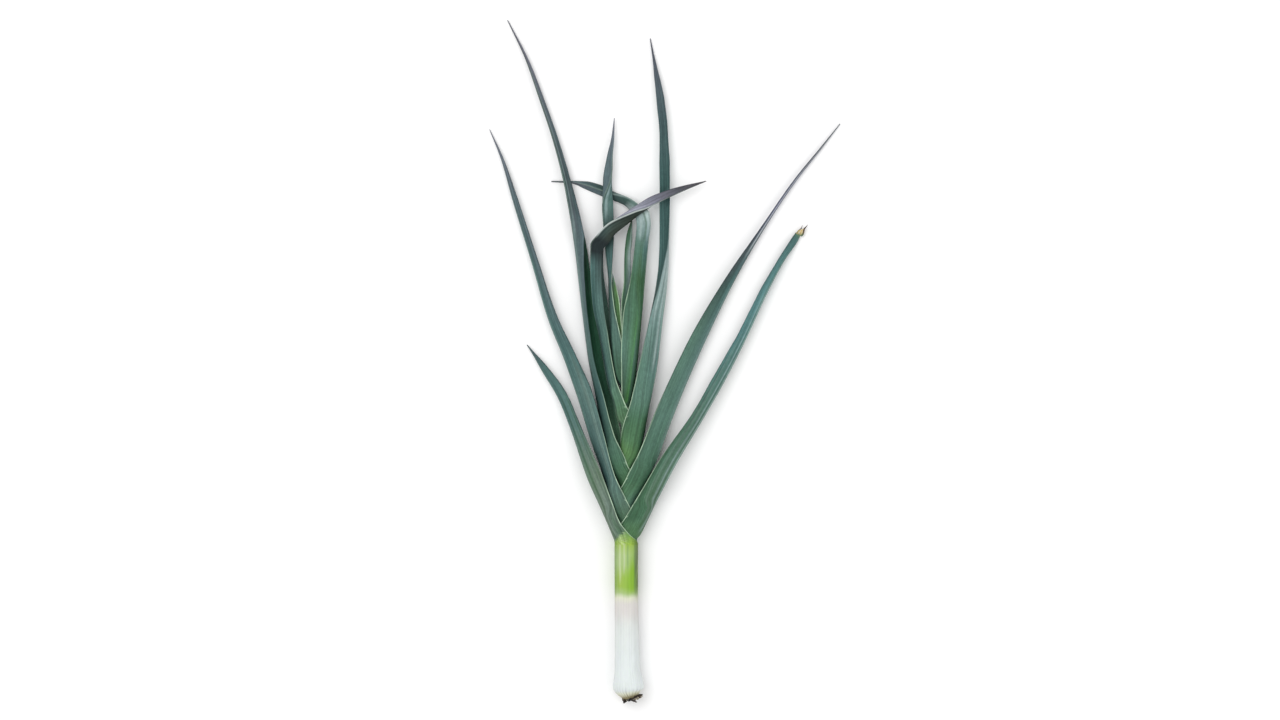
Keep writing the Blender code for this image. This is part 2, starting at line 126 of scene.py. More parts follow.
# Relief of a leaf: the ridge on its keel, fine ribs along it, and ripples near its margins
RIDGE, RIDGE_HALF_WIDTH = 0.45, 0.8
RIB, RIB_SPACING = 0.10, 1.3
RIPPLE, RIPPLE_LENGTH = 0.35, 11.0
FULL_RELIEF_WIDTH = 16.0        # narrower leaves have lower ribs and ripples
FULL_EDGE_WIDTH = 12.0          # narrower leaves have weaker edge lines
GRAIN_STEP = 10.0               # third noise coordinate from one leaf to the next

# Walls and ridges stand outside a blade's mid-line, so the mid-line is drawn in by as much
DRAW_IN = 1.2
INNER_LAYERS_FROM = 6
INNER_DRAW_IN = 0.3
MOST_DRAWN_IN = 0.28            # of the blade's width
KEEL_SHARE = 0.8                # of that is taken at the keel
MARGIN_SHARE = 0.55             # and this much at the margin

# How open a leaf's section is, and the degrees from keel to margin that a ring and a blade fold through
RING, GUTTER, FREE = 0.0, 1.0, 2.0
WRAPPED, BLADE = 172.0, 80.0
QUARTER_TURN = 90.0             # from the side of a ring to its top
BLADE_CREASE = 0.5              # 0 is a round fold, 1 a sharp one
PULL_FADE = 15.0                # degrees over which a ring passes into the keel drawn out beside it
KEEL_TO_MARGIN = (0.0, 0.02, 0.05, 0.10, 0.16, 0.23, 0.30, 0.38, 0.46, 0.54,
                  0.62, 0.70, 0.77, 0.83, 0.88, 0.92, 0.95, 0.973, 0.988, 1.0)

# Leaf rows, in mm and degrees: keel edge x, y; margin edge x, y; height of the middle; half height; roll
LEFT_1 = (
    (-15.5, 185, 3, 188.5, 17, 13.2, 0),
    (-20, 195.5, -7, 202, 17, 13.3, 0),
    (-30, 218.5, -15.5, 224.5, 16.7, 11.8, -15),
    (-44, 249.5, -28, 258, 15.5, 9.5, -15),
    (-64.5, 308, -52.5, 313, 11.5, 7, 0),
    (-79, 343.5, -68.5, 349.5, 8, 5.5, 0),
    (-97, 373.5, -89.5, 378.5, 5.5, 3.8, 0),
    (-115, 404.5, -114, 405, 2.5, 0.8, 0),
)
RIGHT_1 = (
    (16.5, 187.5, -10, 192, 17, 12, 0),
    (25, 204.5, -1, 208, 17, 12.1, 0),
    (37.5, 230, 14.5, 234.5, 17, 11.5, -10),
    (57, 267, 40, 276.5, 15.5, 8.5, -45),
    (88, 318.5, 75.5, 326.5, 12.5, 6.5, -50),
    (113.5, 363, 101, 371, 10, 6, -50),
    (138.5, 412.5, 128, 418, 8, 5.5, -45),
    (163.3, 465.9, 154.3, 469.6, 6.2, 5, -40),
    (183, 502.5, 175.8, 506.1, 5, 4, -30),
    (197.4, 523.5, 189.4, 527.1, 3.8, 3, 0),
    (201.5, 531.4, 194.9, 534.7, 3.0, 1.6, 0),
)
LEFT_2 = (
    (-14, 210, 9, 208, 17, 10.8, 0),
    (-20.5, 224, 0, 228.5, 17, 10.9, 0),
    (-26.5, 251.5, -13, 257, 16.8, 10.2, 0),
    (-41.5, 295.5, -25, 301.5, 15, 8.2, 0),
    (-55.5, 341.5, -38.5, 350, 12.5, 7, 0),
    (-71.5, 387, -58, 394, 10, 6, 0),
    (-90, 433, -79.5, 439, 8, 5.5, 0),
    (-110, 501, -101.5, 503.5, 6.2, 5, 0),
    (-131.5, 571, -124.5, 573, 4.8, 3.8, 0),
    (-145, 618, -141, 619.5, 3.2, 2.5, 0),
    (-158, 653, -157.5, 653.5, 1.5, 0.6, 0),
)
RIGHT_2 = (
    (12, 226, -9.3, 230, 17, 9.6, 0),
    (24, 247, -1, 251, 17, 9.7, 0),
    (37.5, 278, 15.5, 285, 16.8, 9.3, 0),
    (52.5, 318.5, 32, 326.5, 15, 7.5, 0),
    (71, 364, 53, 373, 13, 6.5, 0),
    (91.5, 410, 75, 417.5, 11, 6, 0),
    (125.2, 479, 114.7, 483.5, 8.5, 5, 0),
    (158.6, 537, 154.2, 540.2, 6.5, 4.2, 0),
    (196.9, 594.2, 193.3, 596.2, 4.8, 3, 0),
    (225.5, 630.8, 223, 632.2, 3.2, 1.8, 0),
    (247, 659.5, 246, 660, 1.5, 0.5, 0),
)
LEFT_3 = (
    (-9.5, 246, 8.2, 250, 17, 8.4, 0),
    (-19.5, 265.5, 1, 269, 17, 8.5, 0),
    (-28, 301, -6.5, 307, 16, 8, 26),
    (-35.5, 344.5, -16, 349.5, 14.8, 7.5, 36),
    (-44, 387, -27, 390.5, 14, 7.2, 42),
    (-50, 433, -33, 436.5, 12.5, 7, 45),
    (-55.5, 479, -40, 481.5, 11, 6.5, 35),
    (-59.5, 513.5, -45, 517, 10.3, 5.5, 15),
    (-64.5, 548, -52, 551, 9.8, 4.5, -30),
    (-73.5, 594, -64, 596.5, 9.8, 3.8, -60),
    (-85.5, 640, -78, 642.5, 7.5, 3.3, -60),
    (-100.5, 686, -94, 687.5, 5.5, 2.8, -50),
    (-116.5, 732, -112, 733.5, 3.5, 2, -30),
    (-137.5, 779, -136.5, 779.5, 1.5, 0.5, 0),
)
RIGHT_3 = (
    (15.5, 278, -7.1, 285, 17, 7.2, 0),
    (20.5, 302, -5.5, 305.5, 17, 7.3, 0),
    (27, 334.5, 4.5, 340, 16.7, 7, 0),
    (35.5, 379, 14.5, 384, 15.5, 6, 0),
    (42, 433, 26, 435.5, 13.5, 5.5, 0),
    (47, 472, 33.5, 473.5, 12.3, 5, 17),
    (49, 497.5, 36.5, 498.5, 11.5, 4, 38),
    (50, 531, 37.5, 531, 10.8, 3.6, 66),
    (51, 594, 37.5, 594, 9.5, 3.2, 80),
    (49, 645.5, 37.5, 645.5, 8, 2.8, 82),
    (44.5, 688.5, 34, 686, 6, 2.4, 84),
    (36, 726, 30.5, 724.5, 3.8, 1.6, 80),
    (28, 758.5, 27, 758, 1.5, 0.5, 80),
)
LEFT_4 = (
    (-11, 320, 5, 322, 17, 6.1, 0),
    (-14.5, 336.5, -3, 341.5, 17, 6.2, 0),
    (-22, 364, -11.5, 370, 17, 5.8, 8),
    (-30, 410, -15.5, 413.5, 17, 5, 22),
    (-39, 456, -22, 457.5, 17, 4.8, 18),
    (-41, 496.5, -26.5, 496.5, 17.5, 4.2, 5),
    (-40.6, 519.5, -26, 514, 18.5, 3.6, 0),
    (-34.2, 529.2, -21, 519.8, 19.5, 3.2, -12),
    (-23.5, 541, -13.2, 530.6, 20.3, 3, -38),
    (-8.5, 551.5, -0.4, 541.2, 20.5, 3, -68),
    (9, 563.5, 13.5, 552.5, 20, 3.2, -92),
    (30.5, 576, 34.5, 566.5, 18.5, 3, -130),
    (59.5, 586, 61.5, 579.5, 15.5, 2, -160),
    (91.5, 593.5, 92, 592.5, 11.5, 0.5, -170),
)
RIGHT_4 = (
    (7, 341.5, -5.3, 343.5, 17, 5, 0),
    (12.5, 387, -6, 392, 17, 5.1, 0),
    (17, 433, -4, 436.5, 17, 4.9, 0),
    (21, 479, 4.5, 480.5, 16, 4.6, 0),
    (25, 523, 10, 524, 14.2, 4, 0),
    (27.5, 544.5, 11.5, 541, 12.6, 3.4, -5),
    (25.5, 557.5, 11, 549, 12, 3.2, -30),
    (15.5, 564.5, 7, 555.5, 11, 3, -45),
    (2.5, 574, -3, 565.5, 8, 2.6, -60),
    (-14.5, 581.5, -17.5, 572, 4.2, 2.2, -80),
    (-30, 589.5, -32, 577.5, 3, 2, -90),
    (-46.5, 593.5, -48, 584.5, 2.6, 1.8, -90),
    (-61, 594, -62, 590.5, 2, 1.2, -90),
    (-86.5, 594, -86.5, 592.5, 1.5, 0.4, -90),
)
LEFT_5 = (
    (-13.5, 372, 1, 375, 17, 3.7, 0),
    (-17.5, 409, -6, 412.5, 17, 3.7, 0),
    (-20, 450.5, -14, 451.5, 16.5, 3.4, 0),
    (-20.5, 477, -16.5, 478, 15.2, 3.2, 0),
    (-23, 504.5, -15.5, 505.5, 13.2, 3.1, 0),
    (-25.5, 534.5, -14, 535.5, 11.3, 3.2, 0),
    (-27.5, 565.5, -15, 566.5, 10.8, 3, -50),
    (-27, 594, -16.5, 595, 10.2, 2.6, -110),
    (-23, 619.5, -16, 620, 8.5, 2, -150),
    (-17.5, 643.5, -14, 644, 6.5, 1.3, -160),
    (-14.5, 666, -13.5, 666, 4.5, 0.4, -160),
)
RIGHT_5 = (
    (3, 385, -4, 388, 17, 2.5, 0),
    (3.5, 421.5, -5.5, 423, 17, 2.6, 0),
    (4, 451.5, -6, 451.5, 16.5, 2.6, 0),
    (5, 479, -3, 479, 15.8, 2.4, 0),
    (4.5, 504.5, -2.5, 504.5, 15, 2.2, 0),
    (6.5, 527.5, -0.5, 527.5, 14, 2, 0),
    (7, 551.5, 6.5, 551.5, 13.3, 0.5, 0),
)
LEFT_6 = (
    (-4, 395, -0.8, 397, 17, 0.9, 0),
    (-11, 420.5, -5, 423, 17, 1.2, 0),
    (-15.5, 450.5, -7.8, 454, 16.5, 1.6, 0),
    (-16.5, 470, -11.5, 472, 15.8, 1.5, 0),
    (-16, 486.5, -15.5, 486.5, 15.3, 0.5, 0),
)

# Name, side of the leek, y where the keel leaves the round of the leek, how open the first rows are, rows
LEAVES = (
    ("leaf_left_1", -1, 177, (RING, RING), LEFT_1),
    ("leaf_right_1", 1, 180.5, (RING, RING), RIGHT_1),
    ("leaf_left_2", -1, 202, (RING, RING), LEFT_2),
    ("leaf_right_2", 1, 220, (RING, RING), RIGHT_2),
    ("leaf_left_3", -1, 240, (RING, RING), LEFT_3),
    ("leaf_right_3", 1, 262, (RING, RING, GUTTER), RIGHT_3),
    ("leaf_left_4", -1, 312, (RING, RING), LEFT_4),
    ("leaf_right_4", 1, 329, (GUTTER, GUTTER, GUTTER), RIGHT_4),
    ("leaf_left_5", -1, 346, (GUTTER, GUTTER), LEFT_5),
    ("leaf_right_5", 1, 374, (GUTTER, GUTTER), RIGHT_5),
    ("leaf_left_6", -1, 389, (GUTTER,), LEFT_6),
)

TONE_LEVEL = 0.86               # reflectance that looks as bright as its tone in this light
LEAF_SHADE = 0.80               # how much deeper the leaves are

# Tones of the plant, as 0..255 screen values
TONES = {
    "cream": (226, 228, 205),
    "white": (226, 231, 228),
    "warm_white": (222, 219, 214),
    "cool_white": (229, 236, 235),
    "bright_green": (150, 190, 58),
    "yellow_green": (158, 190, 76),
    "pale_edge": (190, 216, 186),
    "grass": (104, 148, 88),
    "fresh": (88, 132, 88),
    "clover": (84, 148, 72),
    "leaf": (75, 117, 88),
    "deep": (52, 92, 60),
    "forest": (34, 70, 54),
    "holly": (34, 82, 58),
    "sea": (96, 134, 118),
    "moss": (102, 134, 106),
    "sage": (122, 142, 122),
    "haze": (138, 158, 146),
    "glaucous": (98, 132, 126),
    "lagoon": (82, 118, 115),
    "teal": (92, 138, 138),
    "mist": (128, 160, 154),
    "frost": (164, 188, 188),
    "silver": (206, 224, 222),
    "lilac": (172, 174, 190),
    "mauve": (86, 78, 84),
    "steel": (98, 118, 123),
    "slate": (68, 90, 88),
    "dusk": (84, 98, 102),
    "pine": (62, 94, 84),
    "night": (32, 48, 48),
    "ink": (24, 36, 38),
    "olive": (50, 60, 52),
    "violet": (132, 133, 148),
    "iris": (112, 112, 146),
    "plum": (86, 87, 95),
    "khaki": (196, 190, 158),
    "straw": (230, 202, 130),
    "brown": (66, 46, 32),
    "tan": (150, 140, 105),
    "pewter": (78, 100, 94),
    "bronze": (92, 92, 62),
    "pale_green": (172, 198, 128),
    "root_dark": (28, 25, 24),
    "root_brown": (74, 62, 52),
    "root_pale": (190, 180, 158),
}

# Tones along each leaf, the leaves' own colour with painted light in it: inner faces are deepened as painted
# shade, the ink stops of leaf_left_4 are painted shade in its sharp bend, and the silver and frost stops
# where leaves fold and twist are painted highlights. Each stop: leaf row, then front half near the keel and
# near the margin, back half and inner face; or the outer face and the inner face; or one tone for all of it.
LOOKS = {
    "leaf_left_1": (
        (0, "sage", "moss", "sage", "leaf"), (2, "sage", "haze", "sage", "leaf"),
        (3, "moss", "sage", "moss", "deep"), (4, "lagoon", "glaucous", "lagoon", "pine"),
        (6, "lagoon", "pine"), (7, "dusk"),
    ),
    "leaf_right_1": (
        (0, "fresh", "leaf"), (1, "moss", "leaf", "moss", "leaf"), (2, "moss", "leaf", "haze", "leaf"),
        (4, "sea", "sea", "haze", "leaf"), (6, "teal", "teal", "haze", "lagoon"), (7, "teal", "lagoon"),
        (9.3, "lagoon", "pine"), (9.8, "moss", "sea", "moss", "leaf"), (10, "tan", "straw", "tan", "straw"),
    ),
    "leaf_left_2": (
        (0, "leaf", "moss", "leaf", "deep"), (2, "lagoon", "glaucous", "lagoon", "forest"),
        (4, "glaucous", "forest"), (5, "lagoon", "forest"), (7, "lagoon", "steel", "lagoon", "pine"),
        (8, "steel", "slate"), (10, "violet", "dusk"),
    ),
    "leaf_right_2": (
        (0, "sea", "fresh", "sea", "deep"), (1, "leaf", "leaf", "sea", "deep"), (3, "sea", "leaf"),
        (5, "glaucous", "sea", "glaucous", "leaf"), (6, "lagoon", "slate", "haze", "pine"),
        (6.6, "steel", "dusk", "violet", "violet"), (7.4, "iris", "iris", "lilac", "violet"),
        (8.4, "iris", "plum", "lilac", "violet"), (10, "plum", "plum", "violet", "violet"),
    ),
    "leaf_left_3": (
        (0, "deep", "fresh", "deep", "holly"), (1, "pine", "leaf", "pine", "leaf"),
        (2, "lagoon", "sea", "lagoon", "leaf"), (3, "lagoon", "holly"), (4, "glaucous", "holly"),
        (6, "mist", "steel", "steel", "holly"), (8, "dusk", "steel", "dusk", "pine"),
        (9, "slate", "dusk", "dusk", "slate"), (10, "dusk", "steel", "dusk", "slate"),
        (12, "plum", "violet", "plum", "plum"),
    ),
    "leaf_right_3": (
        (0, "fresh", "grass", "leaf", "deep"), (0.6, "leaf", "fresh", "leaf", "deep"),
        (1.5, "deep", "leaf", "leaf", "deep"), (2.2, "sea", "sea", "leaf", "deep"),
        (3, "glaucous", "sea", "glaucous", "pine"), (4, "mist", "pewter"),
        (6, "silver", "frost", "frost", "lagoon"), (8, "frost", "mist", "frost", "lagoon"),
        (10, "haze", "dusk", "haze", "steel"), (12, "violet"),
    ),
    "leaf_left_4": (
        (0, "moss", "fresh", "moss", "leaf"), (2, "lagoon", "sea", "lagoon", "deep"),
        (4, "lagoon", "glaucous", "lagoon", "pine"), (5, "lagoon", "slate", "slate", "slate"), (5.7, "ink"),
        (6.9, "ink"), (7.5, "slate", "olive", "slate", "olive"), (8, "pewter", "olive", "haze", "olive"),
        (9, "olive", "olive", "lilac", "olive"), (10, "olive", "olive", "lilac", "olive"),
        (11, "mauve", "plum", "violet", "plum"), (12, "mauve", "mauve", "plum", "mauve"), (13, "mauve"),
    ),
    "leaf_right_4": (
        (0, "deep"), (1, "deep", "sea", "leaf", "deep"), (3, "deep", "leaf", "leaf", "deep"),
        (3.8, "lagoon", "sea", "mist", "leaf"), (4.6, "frost", "mist", "silver", "leaf"),
        (6, "silver", "frost", "silver", "leaf"), (7, "mist", "silver", "silver", "leaf"),
        (8, "pine", "slate", "silver", "pine"), (9, "slate"), (10, "steel", "steel", "slate", "slate"),
        (12, "violet", "steel", "steel", "slate"), (13, "plum"),
    ),
    "leaf_left_5": (
        (0, "pine", "leaf", "pine", "deep"), (0.8, "pine", "sea", "pine", "deep"),
        (2, "pine", "glaucous", "pine", "deep"), (3, "slate", "glaucous", "slate", "deep"),
        (4, "lagoon", "lagoon", "glaucous", "pine"), (5, "slate"),
        (6, "glaucous", "glaucous", "steel", "lagoon"), (8, "steel"), (10, "violet"),
    ),
    "leaf_right_5": (
        (0, "leaf", "deep"), (2, "leaf", "deep"), (2.6, "frost", "leaf", "mist", "pine"),
        (4, "silver", "leaf", "mist", "pine"), (5, "leaf", "leaf", "sea", "pine"), (6, "olive"),
    ),
    "leaf_left_6": (
        (0, "leaf", "grass", "leaf", "fresh"), (2, "leaf", "grass", "leaf", "grass"),
        (3, "moss", "grass", "moss", "grass"), (4, "mist"),
    ),
}
# Long streaks on outer faces, the leaves' own stripes mixed with painted light: the night streaks and the
# dark lines along folds are painted shade, where a leaf lies under the leaf outside it or creases, and the
# frost, silver and cool_white streaks along keels and folds are painted highlights. Each: share from keel (0)
# to margin (1, or -1 on the back half), half width, first and last leaf row, tone, strength
STREAKS = {
    "leaf_left_1": (
        (0.1, 0.09, -1, 4, "haze", 0.5), (0.34, 0.08, -1, 5, "deep", 0.6), (0.52, 0.07, -1, 4, "haze", 0.5),
        (0.68, 0.06, -1, 4, "pine", 0.35), (0.86, 0.07, 0, 5, "deep", 0.55),
    ),
    "leaf_right_1": (
        (0.03, 0.05, 0.5, 8, "frost", 0.55), (0.15, 0.07, 0, 8, "deep", 0.45),
        (0.3, 0.06, 0.2, 7, "frost", 0.6), (0.48, 0.08, 0, 6, "deep", 0.35),
        (0.66, 0.07, 1, 6, "haze", 0.3), (0.9, 0.1, -1, 4, "deep", 0.45),
    ),
    "leaf_left_2": (
        (0.05, 0.24, -1, 3, "night", 0.72), (0.7, 0.12, 1, 5, "haze", 0.3), (0.05, 0.1, 5, 9, "frost", 0.3),
    ),
    "leaf_right_2": (
        (0.05, 0.12, -1, 1.6, "haze", 0.35), (0.1, 0.1, 2, 6, "frost", 0.25),
        (0.55, 0.08, 2, 6, "pine", 0.3), (0.42, 0.12, 6.6, 10, "cool_white", 0.8),
        (0.9, 0.14, 6, 10, "dusk", 0.7), (0.04, 0.1, 6, 10, "plum", 0.6),
    ),
    "leaf_left_3": (
        (0.05, 0.22, 0, 2.6, "night", 0.75), (0.2, 0.1, 4, 8, "frost", 0.5),
        (0.05, 0.1, 8, 12, "slate", 0.5), (0.32, 0.08, 7.5, 12, "frost", 0.5),
        (0.5, 0.06, 7.5, 12, "plum", 0.6), (0.72, 0.08, 8, 12, "slate", 0.6),
        (-0.4, 0.1, 8, 12, "frost", 0.35),
    ),
    "leaf_right_3": (
        (0.06, 0.08, -1, 2.5, "pine", 0.6), (0.3, 0.08, 3, 7, "silver", 0.5),
        (0.55, 0.06, 3, 7, "pine", 0.35), (0.75, 0.08, 4, 7, "silver", 0.4),
    ),
    "leaf_left_4": (
        (0.06, 0.22, 1, 3.5, "night", 0.8), (0.35, 0.1, 3, 5, "pine", 0.4),
        (0.03, 0.06, 7.1, 11.0, "cool_white", 1.0), (0.22, 0.1, 7.2, 10.6, "night", 0.55),
    ),
    "leaf_right_4": (
        (0.12, 0.14, 0, 3.6, "deep", 0.45), (0.8, 0.08, -1, 2.2, "clover", 0.62),
        (0.54, 0.13, -1, 3, "forest", 0.45), (0.55, 0.12, 1.5, 4, "grass", 0.25),
        (0.4, 0.06, 4.0, 6.8, "deep", 0.8), (0.75, 0.1, 4.2, 6.8, "silver", 0.5),
        (0.03, 0.1, 7.5, 9.0, "frost", 0.6), (0.03, 0.08, 9.2, 12, "haze", 0.35),
    ),
    "leaf_left_5": (
        (0.1, 0.3, -1, 3, "night", 0.75), (0.35, 0.14, 5.6, 8, "frost", 0.75),
        (0.05, 0.12, 5.6, 8, "slate", 0.6),
    ),
    "leaf_right_5": (
        (0.25, 0.16, 2.5, 5.5, "silver", 0.6),
    ),
    "leaf_left_6": (
        (0.1, 0.15, 0, 3, "deep", 0.4),
    ),
}

# Painted shadow: how far and how strongly a leaf is darkened to a deeper green beside the margins of the two
# leaves outside it, where they shade it
OVERLAP_SHADOWS = ((3.0, 0.35), (6.5, 0.62))
OVERLAP_SHADOW_SHIFT = (0.30, 0.42, 0.40)

# Tones up the shaft, by mm from its foot
SHEATH_STOPS = (
    (0, "bronze"), (1.4, "tan"), (3.0, "khaki"), (6.0, "cream"), (9.5, "cool_white"), (48, "cool_white"),
    (80, "white"), (108, "warm_white"), (115, "cream"), (121, "pale_green"), (128, "yellow_green"),
    (138, "yellow_green"), (153, "pale_green"), (164, "pale_green"), (176, "yellow_green"), (192, "grass"),
)
# Streaks of its green part: angle round the shaft, half width, where it starts and is full, tone, strength
SHEATH_STREAKS = (
    (2.15, 0.12, 126.0, 140.0, "cream", 0.32),
    (1.75, 0.07, 140.0, 150.0, "cream", 0.35),
    (1.45, 0.08, 146.0, 158.0, "grass", 0.40),
    (2.55, 0.16, 118.0, 130.0, "grass", 0.35),
    (0.75, 0.12, 116.0, 128.0, "grass", 0.45),
)
# What a tone is multiplied by: where the green is vivid; as painted shade on the dark olive right side of the
# green part, its left rim and the flanks of the pale part, where the round shaft turns away; and in the blush
# below the green
VIVID_SHIFT = (0.82, 0.93, 0.52)
RIGHT_SIDE_SHADE_SHIFT = (0.20, 0.24, 0.13)
RIM_SHADE_SHIFT = (0.55, 0.60, 0.42)
FLANK_SHADE_SHIFT = (0.80, 0.79, 0.77)
BLUSH_SHIFT = (0.97, 0.92, 0.93)

MARGIN_TONE = "pale_edge"       # the thin pale edge of a leaf
KEEL_HIGHLIGHT_TONE = "haze"              # the thin painted highlight along a keel

# Where the outermost leaf's blade starts on its sheath: two points of the line, x and y
BLADE_LINE = ((-14.1, 179.2), (-2.6, 191.0))

# Texture layout: a leaf's outer and inner skins lie in strips side by side, its edges and ends in bands
LOW_UV, UV_SPAN = 0.02, 0.96
STRIPS = 3
SKINS_WIDTH = 0.93
STRIP_GAP = 0.004
EDGES_U, EDGE_BAND = (0.94, 0.97), 0.02
ENDS_V, END_BAND, END_SPAN = (0.003, 0.987), 0.01, 0.9
SHAFT_LOW_V, SHAFT_V_SPAN = 0.10, 0.80
CAPS_V, CAP_MIDDLE_U, CAP_RADIUS = (0.05, 0.95), 0.5, 0.04

# Orders of a quad's four corners
AS_IS, REVERSED, TURNED_OVER, TURNED_BACK = (0, 1, 2, 3), (3, 2, 1, 0), (0, 3, 2, 1), (1, 2, 3, 0)
SHARPEST_SMOOTH = 55.0          # degrees between faces up to which an edge is shaded smooth

# Where most values of a noise texture lie
NOISE_LOW, NOISE_HIGH = 0.3, 0.7

# Camera straight over the leek
CAMERA_AT = (15.7, 387.2)
CAMERA_HEIGHT = 3000.0
CAMERA_LENS = 73.1
CAMERA_REACH = 50.0             # metres
SENSOR = 36.0

# Studio, in metres: half the floor's side, the surround's strength, and each light's place, power and width
FLOOR_HALF = 12.0
FLOOR_COLOUR = (0.93, 0.93, 0.93, 1.0)
SURROUND = (1.0, 1.0, 1.0, 1.0)
SURROUND_STRENGTH = 0.72
LIGHTS = (
    ("key", (-1.1, 0.6, 2.8), 42.0, 2.2),
    ("fill", (1.5, -0.8, 2.6), 17.0, 2.4),
)


def linear(name):
    """A tone as linear light."""
    value = np.array(TONES[name]) / 255.0
    return TONE_LEVEL * np.where(value <= 0.04045, value / 12.92, ((value + 0.055) / 1.055) ** 2.4)


def find_foot():
    """Where the foot of the shaft's axis lies in the frame, in mm."""
    low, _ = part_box("shaft")
    first_y, _, first_radius, first_tilt = SHAFT_ROWS[0]
    left = BULB_X - BULB_RADIUS
    front = first_y - first_radius * math.tan(math.radians(first_tilt))
    return np.array((low.x / MM - left, low.y / MM - front, 0.0))


FOOT = find_foot()


def box_centre(name):
    """Middle of a frame node's box, in mm from the foot of the shaft."""
    low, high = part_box(name)
    return np.array((low + high) / 2) / MM - FOOT


def slopes_through(values, at):
    """Slopes of a smooth curve through the values that never overshoots them."""
    spans = np.diff(at)
    steeps = np.diff(values) / spans
    slopes = [steeps[0]]
    for index in range(1, len(steeps)):
        before, after = steeps[index - 1], steeps[index]
        if before * after <= 0:
            slopes.append(0.0)
        else:
            near = 2 * spans[index] + spans[index - 1]
            far = spans[index] + 2 * spans[index - 1]
            slopes.append((near + far) / (near / before + far / after))
    return np.array(slopes + [steeps[-1]])


def smooth_curve(keys, at, stations):
    """Rows of the keys' smooth curves at the stations, and each station's place among the keys."""
    keys = np.array(keys, float)
    index = np.clip(np.searchsorted(at, stations, side="right") - 1, 0, len(at) - 2)
    span = at[index + 1] - at[index]
    t = (stations - at[index]) / span
    columns = []
    for column in keys.T:
        slopes = slopes_through(column, at)
        columns.append((2 * t**3 - 3 * t**2 + 1) * column[index]
                       + (t**3 - 2 * t**2 + t) * span * slopes[index]
                       + (3 * t**2 - 2 * t**3) * column[index + 1]
                       + (t**3 - t**2) * span * slopes[index + 1])
    return np.array(columns).T, index + t


def stations_along(at, spacing):
    """Evenly spread stations that also hit every key."""
    result = []
    for before, after in zip(at, at[1:]):
        count = max(2, int(round((after - before) / spacing)))
        result += list(np.linspace(before, after, count, endpoint=False))
    return np.array(result + [at[-1]])


def wander(x, seed, waves=6):
    """A smooth random curve between about -1 and 1 along x, which is in its own wavelengths."""
    chance = random.Random(seed)
    total = np.zeros_like(np.asarray(x, float))
    for _ in range(waves):
        rate = chance.uniform(1.0, 4.0)
        total += np.sin(np.asarray(x) * rate + chance.uniform(0, 2 * math.pi)) / rate
    return total / waves * 2.0


def smooth_step(x, low, high):
    """From 0 at low to 1 at high, with soft ends."""
    t = np.clip((x - low) / (high - low), 0.0, 1.0)
    return t * t * (3 - 2 * t)


def hump(distance, half_width):
    """1 where the distance is 0, falling softly away past the half width."""
    return np.exp(-(distance / half_width) ** 2)


def blend(first, second, share):
    """First colour where the share is 0, second where it is 1."""
    return first + (second - first) * share[..., None]


def unit(vectors):
    """Vectors of length 1."""
    return vectors / np.maximum(np.linalg.norm(vectors, axis=-1, keepdims=True), 1e-9)


def quads(grid):
    """Corners of every cell of a grid of point numbers or texture places."""
    corners = (grid[:-1, :-1], grid[:-1, 1:], grid[1:, 1:], grid[1:, :-1])
    return np.stack(corners, axis=2).reshape(-1, 4, *grid.shape[2:])


def texture_grid(u, v):
    """Texture places of a grid whose columns lie at u and rows at v."""
    return np.stack(np.meshgrid(u, v), axis=-1)


def ring_quads(rings, sides):
    """Quads of a tube whose points run round it ring after ring."""
    grid = np.arange(rings * sides).reshape(rings, sides)
    return quads(np.hstack((grid, grid[:, :1])))


def add_piece(name, points, faces, tints, grains, uvs, look, replaced):
    """A smooth-shaded piece from points in mm and faces, with its own colour and grain on every point."""
    mesh = bpy.data.meshes.new(name)
    mesh.from_pydata(((np.asarray(points) + FOOT) * MM).tolist(), [], faces)
    tint = mesh.attributes.new("tint", "FLOAT_COLOR", "POINT")
    opaque = np.column_stack((tints, np.ones(len(tints))))
    tint.data.foreach_set("color", opaque.astype(np.float32).ravel())
    grain = mesh.attributes.new("grain", "FLOAT_VECTOR", "POINT")
    grain.data.foreach_set("vector", np.asarray(grains, np.float32).ravel())
    if uvs is not None:
        layer = mesh.uv_layers.new(name="OFBake")
        layer.uv.foreach_set("vector", np.asarray(uvs, np.float32).ravel())
    mesh.polygons.foreach_set("use_smooth", np.ones(len(mesh.polygons), bool))
    mesh.set_sharp_from_angle(angle=math.radians(SHARPEST_SMOOTH))
    mesh.materials.append(look)
    mesh.validate()
    obj = bpy.data.objects.new(name, mesh)
    bpy.context.scene.collection.objects.link(obj)
    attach(obj, "root")
    if replaced:
        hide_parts(*replaced)


